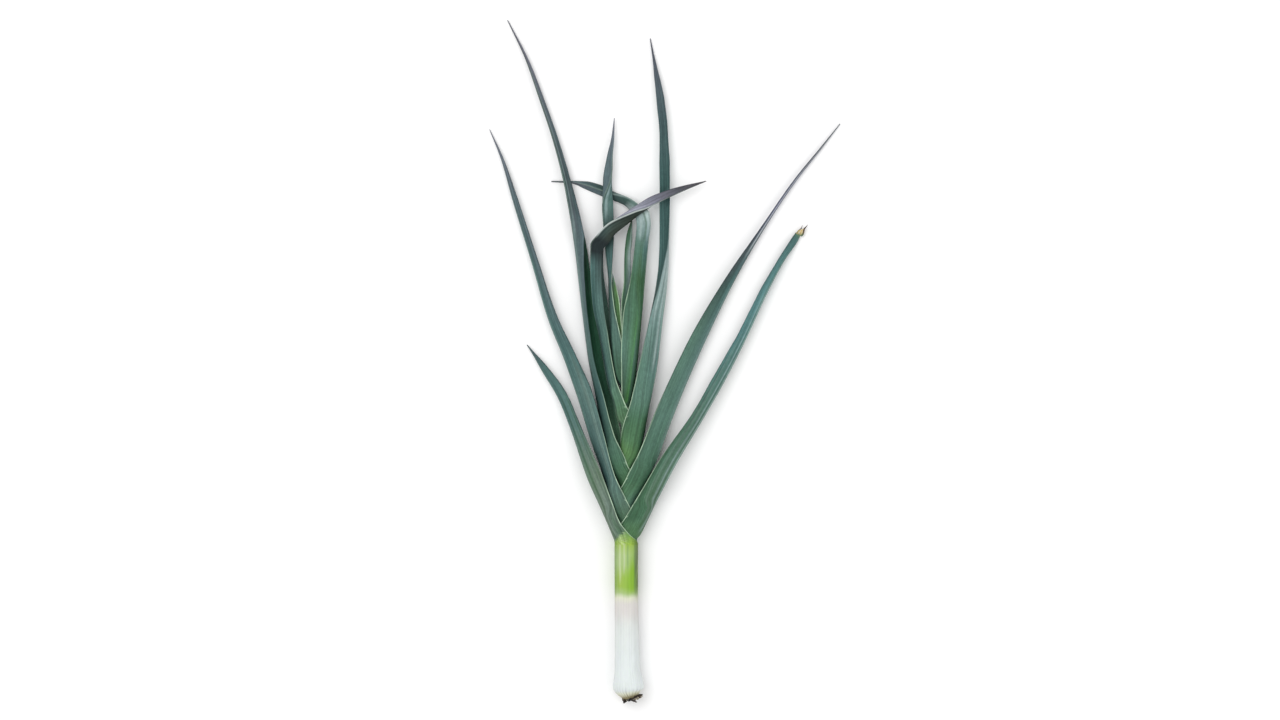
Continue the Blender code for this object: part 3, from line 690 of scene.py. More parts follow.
class Nodes:
    """Short ways to add and join the shader nodes of one material."""

    def __init__(self, name):
        self.material = bpy.data.materials.new(name)
        self.material.use_nodes = True
        self.tree = self.material.node_tree
        self.shader = self.tree.nodes["Principled BSDF"]

    def feed(self, node, inputs):
        """Link each input to a node's output, or set a plain value on it."""
        for socket, source in inputs.items():
            if isinstance(source, (int, float, tuple)):
                node.inputs[socket].default_value = source
            else:
                self.tree.links.new(source, node.inputs[socket])

    def add(self, kind, output, inputs, **settings):
        """Add a node and return one of its outputs."""
        node = self.tree.nodes.new(kind)
        for key, value in settings.items():
            setattr(node, key, value)
        self.feed(node, inputs)
        return node.outputs[output]

    def shade(self, inputs):
        """Feed the surface shader and return the material."""
        self.feed(self.shader, inputs)
        return self.material

    def attribute(self, name, output):
        return self.add("ShaderNodeAttribute", output, {}, attribute_name=name)

    def stretch(self, vector, scale):
        return self.add("ShaderNodeVectorMath", 0, {0: vector, 1: scale}, operation="MULTIPLY")

    def noise(self, vector, scale, detail=2.0, roughness=0.5):
        place = self.stretch(vector, scale)
        inputs = {"Vector": place, "Scale": 1.0, "Detail": detail, "Roughness": roughness}
        return self.add("ShaderNodeTexNoise", "Fac", inputs)

    def to_range(self, value, to_low, to_high, low=NOISE_LOW, high=NOISE_HIGH):
        inputs = {"Value": value, "From Min": low, "From Max": high, "To Min": to_low, "To Max": to_high}
        return self.add("ShaderNodeMapRange", "Result", inputs)

    def swing(self, noise, amount):
        """A factor that swings round 1 with a noise."""
        return self.to_range(noise, 1.0 - amount, 1.0 + amount)

    def maths(self, operation, first, second):
        return self.add("ShaderNodeMath", 0, {0: first, 1: second}, operation=operation)

    def product(self, first, *others):
        for other in others:
            first = self.maths("MULTIPLY", first, other)
        return first

    def total(self, *weighted):
        """Sum of noises, each with its weight."""
        parts = [self.maths("MULTIPLY", noise, weight) for noise, weight in weighted]
        result = parts[0]
        for part in parts[1:]:
            result = self.maths("ADD", result, part)
        return result

    def scale_colour(self, colour, factor):
        return self.add("ShaderNodeVectorMath", 0, {0: colour, "Scale": factor}, operation="SCALE")

    def mix(self, factor, first, second):
        inputs = {"Factor": factor, "A": first, "B": second}
        return self.add("ShaderNodeMix", "Result", inputs, data_type="RGBA")

    def bump(self, height, strength, distance):
        inputs = {"Height": height, "Strength": strength, "Distance": distance}
        return self.add("ShaderNodeBump", "Normal", inputs)


def leaf_material(name, bloom, bloom_share, streak):
    """Leaf skin: long veins, a dull waxy bloom in patches, fine cross ripples and a few pale specks."""
    n = Nodes(name)
    grain = n.attribute("grain", "Vector")
    ribs = n.noise(grain, (0.55, 0.004, 1.0), roughness=0.55)
    veins = n.noise(grain, (2.6, 0.012, 1.0), roughness=0.6)
    patches = n.noise(grain, (0.10, 0.030, 1.0), detail=3.0, roughness=0.6)
    ripples = n.noise(grain, (0.16, 1.3, 1.0))
    rubs = n.noise(grain, (0.9, 0.16, 1.0), detail=4.0, roughness=0.65)
    blotches = n.noise(grain, (0.55, 0.22, 1.0), roughness=0.6)
    factor = n.product(
        n.swing(ribs, streak),
        n.swing(veins, 0.16),
        n.swing(ripples, 0.045),
        n.swing(rubs, 0.05),
        n.to_range(patches, 0.93, 1.1, low=0.35),
        n.swing(blotches, 0.12),
    )
    colour = n.scale_colour(n.attribute("tint", "Color"), factor)
    colour = n.mix(n.to_range(patches, 0.0, bloom_share, low=0.45, high=0.75), colour, bloom)
    cells = {"Vector": n.stretch(grain, (0.30, 0.22, 1.0)), "Scale": 1.0}
    from_cell = n.add("ShaderNodeTexVoronoi", "Distance", cells)
    speck = n.to_range(from_cell, 1.0, 0.0, low=0.03, high=0.07)
    chosen = n.to_range(n.noise(grain, (0.05, 0.02, 1.0)), 0.0, 0.45, low=0.60, high=0.66)
    colour = n.mix(n.product(speck, chosen), colour, (0.45, 0.56, 0.45, 1.0))
    return n.shade({
        "Base Color": colour,
        "Roughness": n.to_range(patches, 0.44, 0.62),
        "Normal": n.bump(n.total((ribs, 0.7), (veins, 0.5), (ripples, 0.25)), 0.8, 0.0006),
        "Specular IOR Level": 0.14,
        "Sheen Weight": 0.015,
        "Sheen Roughness": 0.5,
    })


def sheath_material():
    """Shaft skin: smooth, faintly shiny and fleshy, with fine long ribs and a few rubbed spots."""
    n = Nodes("sheath_skin")
    grain = n.attribute("grain", "Vector")
    ribs = n.noise(grain, (0.8, 0.006, 1.0))
    veins = n.noise(grain, (3.4, 0.015, 1.0), roughness=0.6)
    patches = n.noise(grain, (0.16, 0.05, 1.0), detail=3.0, roughness=0.6)
    factor = n.product(n.swing(ribs, 0.045), n.swing(veins, 0.035), n.to_range(patches, 0.96, 1.03))
    return n.shade({
        "Base Color": n.scale_colour(n.attribute("tint", "Color"), factor),
        "Roughness": n.to_range(patches, 0.34, 0.5),
        "Normal": n.bump(n.total((ribs, 0.8), (veins, 0.5)), 0.5, 0.0005),
        "Specular IOR Level": 0.4,
        "Subsurface Weight": 0.12,
        "Subsurface Radius": (0.004, 0.005, 0.003),
        "Subsurface Scale": 0.5,
    })


def rough_material(name, low, high, roughness):
    """Corky or dried tissue: blotchy, coarse and dull."""
    n = Nodes(name)
    grain = n.attribute("grain", "Vector")
    coarse = n.noise(grain, (0.9, 0.9, 0.9), detail=4.0, roughness=0.65)
    fine = n.noise(grain, (4.0, 1.4, 4.0), detail=3.0, roughness=0.6)
    factor = n.product(n.to_range(coarse, low, high), n.swing(fine, 0.2))
    return n.shade({
        "Base Color": n.scale_colour(n.attribute("tint", "Color"), factor),
        "Roughness": n.to_range(fine, roughness - 0.1, roughness + 0.1),
        "Normal": n.bump(n.total((coarse, 1.0), (fine, 0.5)), 0.8, 0.0006),
        "Specular IOR Level": 0.25,
    })


def leaf_keys(side, layer, leaves_at, opening, rows):
    """Rows with how open the leaf is, starting with the stretch where it is a ring in the leek."""
    radius = COLLAR_RADIUS - SHEATH_WALL / 2 - LEAF_STEP * layer
    starts_at = max(COLLAR_Y + PAST_COLLAR, leaves_at - HIDDEN_LENGTH)
    rings = [(starts_at, radius), (leaves_at, radius)]
    if layer == 0:
        rings.insert(0, (starts_at - TUCK_LENGTH, radius - TUCK_STEP))
    keys = [(side * size, y, -side * size, y, AXIS_HEIGHT, size, 0, RING) for y, size in rings]
    for index, row in enumerate(rows):
        keys.append((*row, opening[index] if index < len(opening) else FREE))
    return keys, len(rings)


def leaf_sections(layer, keys, first):
    """Sections along the leaf, how far along each lies, and its place among the leaf rows."""
    middles = np.array([((key[0] + key[2]) / 2, (key[1] + key[3]) / 2) for key in keys])
    at = np.concatenate(([0.0], np.cumsum(np.linalg.norm(np.diff(middles, axis=0), axis=1))))
    stations = stations_along(at, ROW_SPACING)
    sections, place = smooth_curve(keys, at, stations)
    place = place - first
    chord = sections[:, 2:4] - sections[:, 0:2]
    stands_out = DRAW_IN if layer < INNER_LAYERS_FROM else INNER_DRAW_IN
    draw_in = np.minimum(stands_out / np.maximum(np.linalg.norm(chord, axis=1), 0.1), MOST_DRAWN_IN)
    draw_in = chord * (draw_in * smooth_step(place, 0.0, 2.0))[:, None]
    sections[:, 0:2] += draw_in * KEEL_SHARE
    sections[:, 2:4] -= draw_in * MARGIN_SHARE
    return sections, stations, place


def half_sections(side, rows):
    """The folded mid-line of every row from keel to margin: x across and y up, in a box one unit in size."""
    share = np.array(KEEL_TO_MARGIN)[None, :]
    keel_x, margin_x, half_height, opened = (rows[:, column, None] for column in (0, 2, 5, 7))
    pull = np.maximum(side * keel_x / half_height - 1.0, 0.0)
    past_axis = np.clip(-side * margin_x / half_height, 0.0, 1.0)
    most = WRAPPED + (QUARTER_TURN - WRAPPED) * np.minimum(opened, GUTTER)
    wrap = np.minimum(180.0 - np.degrees(np.arccos(past_axis)), most)
    angle = share * wrap
    pulled = np.where(angle < QUARTER_TURN, np.minimum((QUARTER_TURN - angle) / PULL_FADE, 1.0), 0.0)
    ring_x = 1.0 - np.cos(np.radians(angle)) + pull * (1.0 - pulled)
    ring_x = ring_x / ring_x[:, -1:] - 0.5
    ring_y = np.sin(np.radians(angle)) / 2
    turn = math.radians(BLADE)
    across = (1 - np.cos(share * turn)) / (1 - math.cos(turn)) - 0.5
    up = np.sin(share * turn) / math.sin(turn) / 2
    blade_x = across + (share - 0.5 - across) * BLADE_CREASE
    blade_y = up + (share / 2 - up) * BLADE_CREASE
    free = np.maximum(opened - GUTTER, 0.0)
    return ring_x + (blade_x - ring_x) * free, ring_y + (blade_y - ring_y) * free


def mid_surface(side, rows):
    """The leaf's mid-surface: rows of points from the back margin round the keel to the front margin."""
    x, y = half_sections(side, rows)
    x = np.hstack((x[:, :0:-1], x))
    y = np.hstack((-y[:, :0:-1], y))
    roll = np.radians(rows[:, 6, None])
    x, y = x * np.cos(roll) - y * np.sin(roll), x * np.sin(roll) + y * np.cos(roll)
    low_x, high_x = x.min(1, keepdims=True), x.max(1, keepdims=True)
    low_y, high_y = y.min(1, keepdims=True), y.max(1, keepdims=True)
    x = (x - low_x) / (high_x - low_x) - 0.5
    y = (y - low_y) / (high_y - low_y) - 0.5
    keel = np.column_stack((rows[:, 0], rows[:, 1], rows[:, 4]))
    margin = np.column_stack((rows[:, 2], rows[:, 3], rows[:, 4]))
    middle = (keel + margin) / 2
    points = middle[:, None, :] + (margin - keel)[:, None, :] * x[:, :, None]
    points[:, :, 2] += 2 * rows[:, 5, None] * y
    return points


def grid_normals(points):
    """Unit normals of a grid of points, from the neighbours along and across."""
    return unit(np.cross(np.gradient(points, axis=0), np.gradient(points, axis=1)))


def wall_of(sections):
    """How thick each section's wall is: thicker on the free blade, thin where the leaf is small."""
    wall = SHEATH_WALL + (BLADE_WALL - SHEATH_WALL) * sections[:, 7, None] / FREE
    width = np.hypot(sections[:, 0] - sections[:, 2], sections[:, 1] - sections[:, 3])
    size = ((width + 2 * sections[:, 5]) / 2)[:, None]
    return np.minimum(wall, np.minimum(TIP_WALL_SHARE * size, SMALL_WALL + SMALL_WALL_SHARE * size))


def tones_at(stops, places, depth=1.0):
    """Colours at the places between stops that each have a place and a tone."""
    at = [stop[0] for stop in stops]
    values = depth * np.array([linear(stop[1]) for stop in stops])
    return np.stack([np.interp(places, at, values[:, channel]) for channel in range(3)], axis=-1)


def look_tones(name, place):
    """Tones for each row of a leaf: outer face near the keel and near the margin, back half, inner face."""
    full = [(at, [tones[0]] * 3 + tones[-1:] if len(tones) < 4 else tones) for at, *tones in LOOKS[name]]
    parts = [[(at, tones[part]) for at, tones in full] for part in range(4)]
    return [tones_at(stops, place, LEAF_SHADE)[:, None, :] for stops in parts]


def leaf_tints(name, place, across, half_width, widths):
    """Outer and inner colours of every grid point."""
    near_keel, near_margin, back, inner = look_tones(name, place)
    shares = np.concatenate((-np.array(KEEL_TO_MARGIN)[:0:-1], KEEL_TO_MARGIN))[None, :]
    front = blend(near_keel, near_margin, smooth_step(np.abs(shares), 0.1, 0.9))
    outer = np.where(shares[..., None] >= 0, front, back)
    for at, half, first, last, tone, strength in STREAKS.get(name, ()):
        reach = smooth_step(place, first - 0.3, first + 0.3) * smooth_step(place, last + 0.5, last - 0.5)
        drift = 0.25 * half * wander(place * 2.2 + 7.0 * at, 60)
        mask = hump(shares - at - drift[:, None], half) * reach[:, None]
        outer = blend(outer, LEAF_SHADE * linear(tone), mask * strength)
    from_margin = half_width - np.abs(across)
    narrow = np.clip(widths / FULL_EDGE_WIDTH, 0.0, 1.0)
    edge = smooth_step(from_margin, 1.0, 0.45) * narrow
    pale_share = 1.0 - smooth_step(place, 2.0, 4.0)[:, None]
    pale = linear(MARGIN_TONE)
    # Painted shade: a darker band just inside the margin near the foot and darker edges further up; the pale
    # margin itself is the leaf's own colour
    outer = blend(outer, outer * 0.72, hump(from_margin - 1.9, 0.8) * pale_share)
    outer = blend(outer, outer * 0.15 + pale * 0.85, edge * pale_share)
    outer = blend(outer, outer * 0.45, edge * (1.0 - pale_share) * 0.8)
    inner = blend(inner, inner * 0.4 + pale * 0.6, edge * pale_share * 0.6)
    # Painted highlight: a thin light line along the keel ridge
    ridge = smooth_step(np.abs(across), 0.9, 0.2) * smooth_step(place, -0.5, 0.5)[:, None] * narrow
    outer = blend(outer, outer * 0.4 + linear(KEEL_HIGHLIGHT_TONE) * 0.6, ridge * 0.6)
    return outer, inner


def sheath_tint(x, y):
    """Colour of the shaft's skin: x runs round it in mm from its right side, and y up it."""
    flame = 1.3 * wander(x / 3.5, 21) + 0.5 * wander(x, 22)
    level = y + flame * smooth_step(y, 30.0, 105.0)
    turn = x / COLLAR_RADIUS
    green = smooth_step(level, 111.0, 125.0)
    colour = tones_at(SHEATH_STOPS, level)
    vivid = hump(turn - 1.15, 0.60) * hump(y - 130.0, np.where(y > 130.0, 24.0, 11.0))
    vivid = vivid + 0.5 * hump(turn - 0.95, 0.30) * hump(y - 150.0, 22.0)
    colour = blend(colour, linear("bright_green") * np.array(VIVID_SHIFT), np.clip(vivid, 0.0, 1.0) * green)
    for at, half, low, high, tone, strength in SHEATH_STREAKS:
        streak = hump(turn - at - 0.05 * wander(y / 12.0, 17 + int(100 * at)), half)
        colour = blend(colour, linear(tone), streak * strength * smooth_step(level, low, high))
    # Painted shade: the right side of the green part darkened to olive, fading towards the underside and the
    # collar
    right_shade_edge = 0.66 + 0.05 * wander(y / 14.0, 43)
    round_side = np.arctan2(np.sin(turn - 0.14), np.cos(turn - 0.14))
    round_side = np.where(round_side < 0, round_side * 0.42, round_side)
    olive = smooth_step(np.cos(round_side), right_shade_edge, right_shade_edge + 0.28) * smooth_step(level, 106.0, 136.0)
    olive = olive * smooth_step(y, 200.0, 176.0)
    olive = olive * (0.88 + 0.2 * wander(y / 9.0 + x / 3.0, 44) + 0.12 * wander(x / 1.3, 45))
    # Painted shade along the left rim of the green part and along the flanks of the pale part
    rim = smooth_step(-np.cos(turn + 0.15), 0.90, 1.0) * green
    flank = smooth_step(np.abs(np.cos(turn)), 0.93, 1.0) * (1.0 - green) * smooth_step(y, 18.0, 40.0)
    blush = hump(y - 98.0, 9.0) * (0.6 + 0.4 * wander(x / 4.0, 41))
    for shift, share in (
        (RIGHT_SIDE_SHADE_SHIFT, np.clip(olive, 0.0, 1.0) * 0.94),
        (RIM_SHADE_SHIFT, rim * 0.85),
        (FLANK_SHADE_SHIFT, flank * 0.8),
        (BLUSH_SHIFT, np.clip(blush, 0.0, 1.0)),
    ):
        colour = blend(colour, colour * np.array(shift), share)
    mottle = 0.07 * wander(x / 2.2 + 0.05 * y, 33, 8) * wander(y / 7.0 + 0.3 * x, 34, 8)
    stripes = wander(x / 0.9, 31, 8) * 0.10 * green + wander(x / 1.1, 32, 8) * 0.05 + mottle
    return colour * (1.0 + stripes[..., None])


def overlap_shadow(points, lines):
    """How much painted shadow each point has from lying close beside the margin of a leaf wrapped outside it.
    """
    shade = np.zeros(points.shape[:2])
    for (reach, strength), line in zip(OVERLAP_SHADOWS, reversed(lines)):
        nearest = np.full(points.shape[:2], 1e9)
        for x, y in line[::2]:
            nearest = np.minimum(nearest, np.hypot(points[..., 0] - x, points[..., 1] - y))
        shade = np.maximum(shade, strength * hump(nearest, reach))
    return shade


def sheath_below_line(tint, points, place, across, from_margin):
    """The outermost leaf's colours, which are the shaft's own below the line where its blade starts."""
    (x0, y0), (x1, y1) = BLADE_LINE
    beyond = (x1 - x0) * (points[..., 1] - y0) - (y1 - y0) * (points[..., 0] - x0)
    beyond = beyond / math.hypot(x1 - x0, y1 - y0)
    lower = smooth_step(beyond + 0.8 * wander(across / 2.0, 7), 0.9, -0.9)
    lower = np.where(place[:, None] < 2.5, lower, 0.0)
    round_mm = np.arctan2(points[..., 2] - AXIS_HEIGHT, points[..., 0]) * COLLAR_RADIUS
    tint = blend(tint, sheath_tint(round_mm, points[..., 1]), lower)
    edge = smooth_step(from_margin, 0.9, 0.4) * (across > 0) * smooth_step(place, -1.0, -0.2)[:, None]
    return blend(tint, linear(MARGIN_TONE), edge * lower * 0.8)


def leaf_mesh(outer, inner):
    """Closed skin between an outer and an inner grid: points, quads and each quad's texture corners."""
    rows, columns = outer.shape[:2]
    outside = np.arange(rows * columns).reshape(rows, columns)
    inside = outside + rows * columns
    step = math.ceil((rows - 1) / STRIPS)
    faces, uvs = [], []

    def add(grid, u, v, order):
        faces.append(quads(grid)[:, order])
        uvs.append(quads(texture_grid(u, v))[:, order])

    for number in range(2 * STRIPS):
        skin, order = (outside, AS_IS) if number < STRIPS else (inside, REVERSED)
        first = number % STRIPS * step
        part = skin[first:first + step + 1]
        left = SKINS_WIDTH * number / (2 * STRIPS) + STRIP_GAP
        width = SKINS_WIDTH / (2 * STRIPS) - 2 * STRIP_GAP
        u = left + width * np.arange(columns) / (columns - 1)
        add(part, u, LOW_UV + UV_SPAN * np.arange(len(part)) / step, order)
    v = LOW_UV + UV_SPAN * np.arange(rows) / (rows - 1)
    u = LOW_UV + END_SPAN * np.arange(columns) / (columns - 1)
    for at, low_u, low_v, order in zip((0, -1), EDGES_U, ENDS_V, (TURNED_OVER, TURNED_BACK)):
        add(np.column_stack((outside[:, at], inside[:, at])), (low_u, low_u + EDGE_BAND), v, order)
        add(np.vstack((outside[at], inside[at])), u, (low_v, low_v + END_BAND), order)
    points = np.concatenate((outer.reshape(-1, 3), inner.reshape(-1, 3)))
    return points, np.concatenate(faces), np.concatenate(uvs)


def make_leaf(layer, name, side, leaves_at, opening, rows, look, slot, lines):
    """One leaf as a thin folded blade with its keel ridge, tapered margins and faint ripples."""
    keys, first = leaf_keys(side, layer, leaves_at, opening, rows)
    sections, stations, place = leaf_sections(layer, keys, first)
    middle = mid_surface(side, sections)
    normals = grid_normals(middle) * side
    steps = np.linalg.norm(np.diff(middle, axis=1), axis=2)
    run = np.concatenate((np.zeros((len(stations), 1)), np.cumsum(steps, axis=1)), axis=1)
    widths = run[:, -1:]
    centre = len(KEEL_TO_MARGIN) - 1
    keel_at = run[:, centre:centre + 1]
    across = run - keel_at
    half_width = np.where(across < 0, keel_at, widths - keel_at)
    from_margin = half_width - np.abs(across)
    size = np.abs(across) / np.maximum(half_width, 1e-6)
    half_wall = wall_of(sections) / 2 * (MARGIN_WALL_SHARE + (1 - MARGIN_WALL_SHARE) * (1 - size**5))
    free = smooth_step(place, 0.0, 1.5)[:, None]
    narrow = np.clip(widths / FULL_RELIEF_WIDTH, 0.0, 1.0)
    ridge = RIDGE * free * narrow * hump(across, RIDGE_HALF_WIDTH)
    ribs = RIB * narrow * free * wander(across / RIB_SPACING, 100 + layer) * (1 - size**4)
    waves = wander(stations[:, None] / RIPPLE_LENGTH + 9.0 * (across > 0), 50 + layer)
    ripple = RIPPLE * free * narrow * size**3 * waves
    outer = middle + normals * (ripple + half_wall + ridge + ribs)[..., None]
    inner = middle + normals * (ripple - half_wall - ribs * 0.5)[..., None]
    outer_tint, inner_tint = leaf_tints(name, place, across, half_width, widths)
    # Painted shadow, deeper green, beside the margins of the leaves wrapped outside this one
    shade = overlap_shadow(outer, lines) * (across > -1.0) * smooth_step(from_margin, 0.4, 1.0)
    outer_tint = blend(outer_tint, outer_tint * np.array(OVERLAP_SHADOW_SHIFT), shade)
    lines.append(outer[:, -1, :2])
    if layer == 0:
        outer_tint = sheath_below_line(outer_tint, outer, place, across, from_margin)
    points, faces, uvs = leaf_mesh(outer, inner)
    if side < 0:
        faces, uvs = faces[:, ::-1], uvs[:, ::-1]
    grains = []
    for depth in (GRAIN_STEP * layer, GRAIN_STEP * (layer + 0.5)):
        grains.append(np.stack(np.broadcast_arrays(across, stations[:, None], depth), axis=-1).reshape(-1, 3))
    tints = np.concatenate((outer_tint.reshape(-1, 3), inner_tint.reshape(-1, 3)))
    add_piece(name + "_blade", points, faces.tolist(), tints, np.concatenate(grains), uvs, look, [name])


def make_shaft(look):
    """The wrapped sheaths and their bulb, with fine ribs, and grooves that gather at the stem plate."""
    at = np.array([row[0] for row in SHAFT_ROWS])
    stations = stations_along(at, SHAFT_SPACING)
    sections, _ = smooth_curve(SHAFT_ROWS, at, stations)
    y, x, radius, tilt = sections.T[:, :, None]
    angle = np.linspace(0, 2 * math.pi, SHAFT_SIDES, endpoint=False)[None, :]
    round_mm = angle * COLLAR_RADIUS
    low = hump(y - 2.0, 9.0)
    notch = 1.0 - np.abs(np.sin(13 * angle + 0.8 * np.sin(3 * angle)))
    grooves = -GROOVE_DEPTH * low * notch**3
    ribs = 0.07 * np.sin(46 * angle + 0.7 * np.sin(5 * angle)) + 0.05 * np.sin(29 * angle + 1.0)
    sway = 0.10 * np.sin(3 * angle + y / 30.0) * smooth_step(y, 5, 30) * smooth_step(y, 172, 150)
    r = radius + grooves + ribs + sway
    local_x = r * np.cos(angle)
    height = np.maximum(AXIS_HEIGHT, radius) + r * np.sin(angle)
    tilted_y = y + local_x * np.tan(np.radians(tilt))
    points = np.stack((x + local_x, tilted_y, np.maximum(height, 0.05)), axis=-1)
    # Painted shade darkens the tint down in the grooves at the stem plate
    tints = sheath_tint(round_mm, y) * (1.0 - 0.5 * (low * notch**3)[..., None])
    grains = np.stack(np.broadcast_arrays(round_mm, y, SHAFT_GRAIN), axis=-1)
    values = np.concatenate((points, tints, grains), axis=-1).reshape(-1, 9)
    rows = len(stations)
    faces = ring_quads(rows, SHAFT_SIDES)[:, TURNED_OVER].tolist()
    u = LOW_UV + UV_SPAN * np.arange(SHAFT_SIDES + 1) / SHAFT_SIDES
    v = SHAFT_LOW_V + SHAFT_V_SPAN * np.arange(rows) / (rows - 1)
    uvs = quads(texture_grid(u, v))[:, TURNED_OVER].reshape(-1, 2).tolist()
    for row, middle_v, order in ((0, CAPS_V[0], 1), (rows - 1, CAPS_V[1], -1)):
        ring = np.arange(row * SHAFT_SIDES, (row + 1) * SHAFT_SIDES)
        values = np.vstack((values, values[ring].mean(0)))
        for j in range(SHAFT_SIDES):
            face = (ring[j], ring[(j + 1) % SHAFT_SIDES], len(values) - 1)
            corners = [(CAP_MIDDLE_U, middle_v)]
            for turn in (2 * math.pi * (j + 1) / SHAFT_SIDES, 2 * math.pi * j / SHAFT_SIDES):
                across, up = CAP_RADIUS * math.cos(turn), CAP_RADIUS * math.sin(turn)
                corners.insert(0, (CAP_MIDDLE_U + across, middle_v + up))
            faces.append(face[::order])
            uvs.extend(corners[::order])
    points, tints, grains = values[:, 0:3], values[:, 3:6], values[:, 6:9]
    add_piece("shaft_skin", points, faces, tints, grains, uvs, look, ["shaft"])


def tube(path, radii, sides, lumps, chance):
    """Points and faces of a closed lumpy tube along a path."""
    path = np.array(path, float)
    points = []
    for centre, direction, radius in zip(path, unit(np.gradient(path, axis=0)), radii):
        right = unit(np.cross(direction, UP) + 1e-6)
        top = np.cross(right, direction)
        for side in range(sides):
            angle = 2 * math.pi * side / sides
            r = radius * (1 + lumps * chance.uniform(-1, 1))
            points.append(centre + r * (right * math.cos(angle) + top * math.sin(angle)))
    count = len(points)
    ends = [list(range(sides)), list(range(count - 1, count - 1 - sides, -1))]
    return points, ring_quads(len(path), sides)[:, TURNED_OVER].tolist() + ends


def make_root(index, look):
    """One cut root with the broken rootlets that cling to it."""
    name = f"root_stub_{index}"
    low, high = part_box(name)
    length = (high.y - low.y) / MM
    foot = box_centre(name)
    outward = foot - box_centre("basal_plate")
    foot[1] = high.y / MM - FOOT[1]
    outward[1] = 0.0
    outward = outward / max(np.linalg.norm(outward), 1.0)
    rightward = outward[0] > -0.2
    chance = random.Random(400 + index)
    points, faces, tints, grains = [], [], [], []

    def add(path, radii, sides, lumps, end_tone):
        """A tube that is dark at its start and has the end tone at its end."""
        new_points, new_faces = tube(path, radii, sides, lumps, chance)
        base = len(points)
        points.extend(new_points)
        faces.extend([base + corner for corner in face] for face in new_faces)
        dark, end = linear("root_dark"), linear(end_tone)
        for number, point in enumerate(new_points):
            share = number / len(new_points)
            tints.append((dark + (end - dark) * share**2) * chance.uniform(0.7, 1.25))
            grains.append((point[0], point[1], point[2] + 3.0 * index))

    path = []
    for t in np.linspace(0, 1, CORE_RINGS):
        jitter = 0.25 * np.array((chance.uniform(-1, 1), 0, chance.uniform(-1, 1)))
        drop = np.array((0, 2.5 - (length + 1.0) * t, 0))
        path.append(foot + outward * (0.5 * length * t * t) + drop + jitter)
    radii = np.linspace(*CORE_RADII, CORE_RINGS) * [chance.uniform(0.8, 1.2) for _ in range(CORE_RINGS)]
    add(path, radii, CORE_SIDES, CORE_LUMPS, "root_dark")
    for number in range(ROOTLET_COUNT):
        start_x, drop = chance.uniform(-1.2, 1.2), chance.uniform(0, length * 0.6)
        start = foot + np.array((start_x, 1.5 - drop, chance.uniform(-1.2, 1.2)))
        swing = chance.uniform(0.2, 1.5) if rightward else -chance.uniform(0.1, 1.2)
        heading = swing * np.array((0.97, 0.26, 0.0)) + np.array(
            (chance.uniform(-0.4, 0.4), -chance.uniform(-0.1, 0.45), outward[2] * chance.uniform(0.0, 0.8)))
        heading = heading / np.linalg.norm(heading)
        reach = chance.uniform(3.5, 8.0) if rightward else chance.uniform(2.2, 4.0)
        curl = np.array((chance.uniform(-1, 1), chance.uniform(-0.6, 0.6), chance.uniform(-1, 1)))
        path = []
        for t in np.linspace(0, 1, ROOTLET_RINGS):
            wiggle = 0.35 * math.sin(7 * t + number)
            bend = curl * (1.6 * t * t)
            path.append(start + heading * reach * t + bend + np.array((wiggle, 0, wiggle * 0.5)))
        radii = np.linspace(*ROOTLET_RADII, ROOTLET_RINGS) * chance.uniform(0.75, 1.2)
        add(path, radii, ROOTLET_SIDES, ROOTLET_LUMPS, "root_pale" if number % 4 == 0 else "root_brown")
    add_piece(name + "_root", points, faces, np.array(tints), grains, None, look, [name])


def make_dry_tip(look):
    """The dried, split end of the outer right leaf: curled straw slivers with brown ends, two mostly dark."""
    chance = random.Random(88)
    points, faces, tints = [], [], []
    for number, (start, end, width, bow, dark) in enumerate(DRY_SLIVERS):
        start, end = np.array(start), np.array(end)
        sideways = unit(np.cross(unit(end - start), UP))
        base = len(points)
        for t in np.arange(SLIVER_STEPS + 1) / SLIVER_STEPS:
            middle = start + (end - start) * t + UP * bow * math.sin(math.pi * t)
            middle = middle + sideways * 0.5 * math.sin(2.5 * math.pi * t + number)
            half = width / 2 * (1 - t**2.2) * (1 + 0.15 * math.sin(9 * t + number)) + 0.08
            green = max(0.0, 0.35 - t) / 0.35
            for across, rise in SLIVER_ACROSS:
                browned = t > (0.35 if dark else 0.75) or dark and across > -0.1
                for lift in (SLIVER_HALF_THICKNESS, -SLIVER_HALF_THICKNESS):
                    points.append(middle + sideways * half * across + UP * (rise * half + lift))
                    straw = linear("straw") * chance.uniform(0.8, 1.1)
                    tone = linear("brown") if browned else straw
                    tints.append(tone * (1 - green) + linear("moss") * green)
        grid = np.arange(base, len(points)).reshape(SLIVER_STEPS + 1, len(SLIVER_ACROSS), 2)
        for cells, order in (
            (grid[:, :, 0], AS_IS),
            (grid[:, :, 1], TURNED_OVER),
            (grid[:, 0], TURNED_OVER),
            (grid[:, -1], AS_IS),
            (grid[0], AS_IS),
            (grid[-1], REVERSED),
        ):
            faces += quads(cells)[:, order].tolist()
    add_piece("leaf_right_1_dry_tip", points, faces, np.array(tints), points, None, look, [])


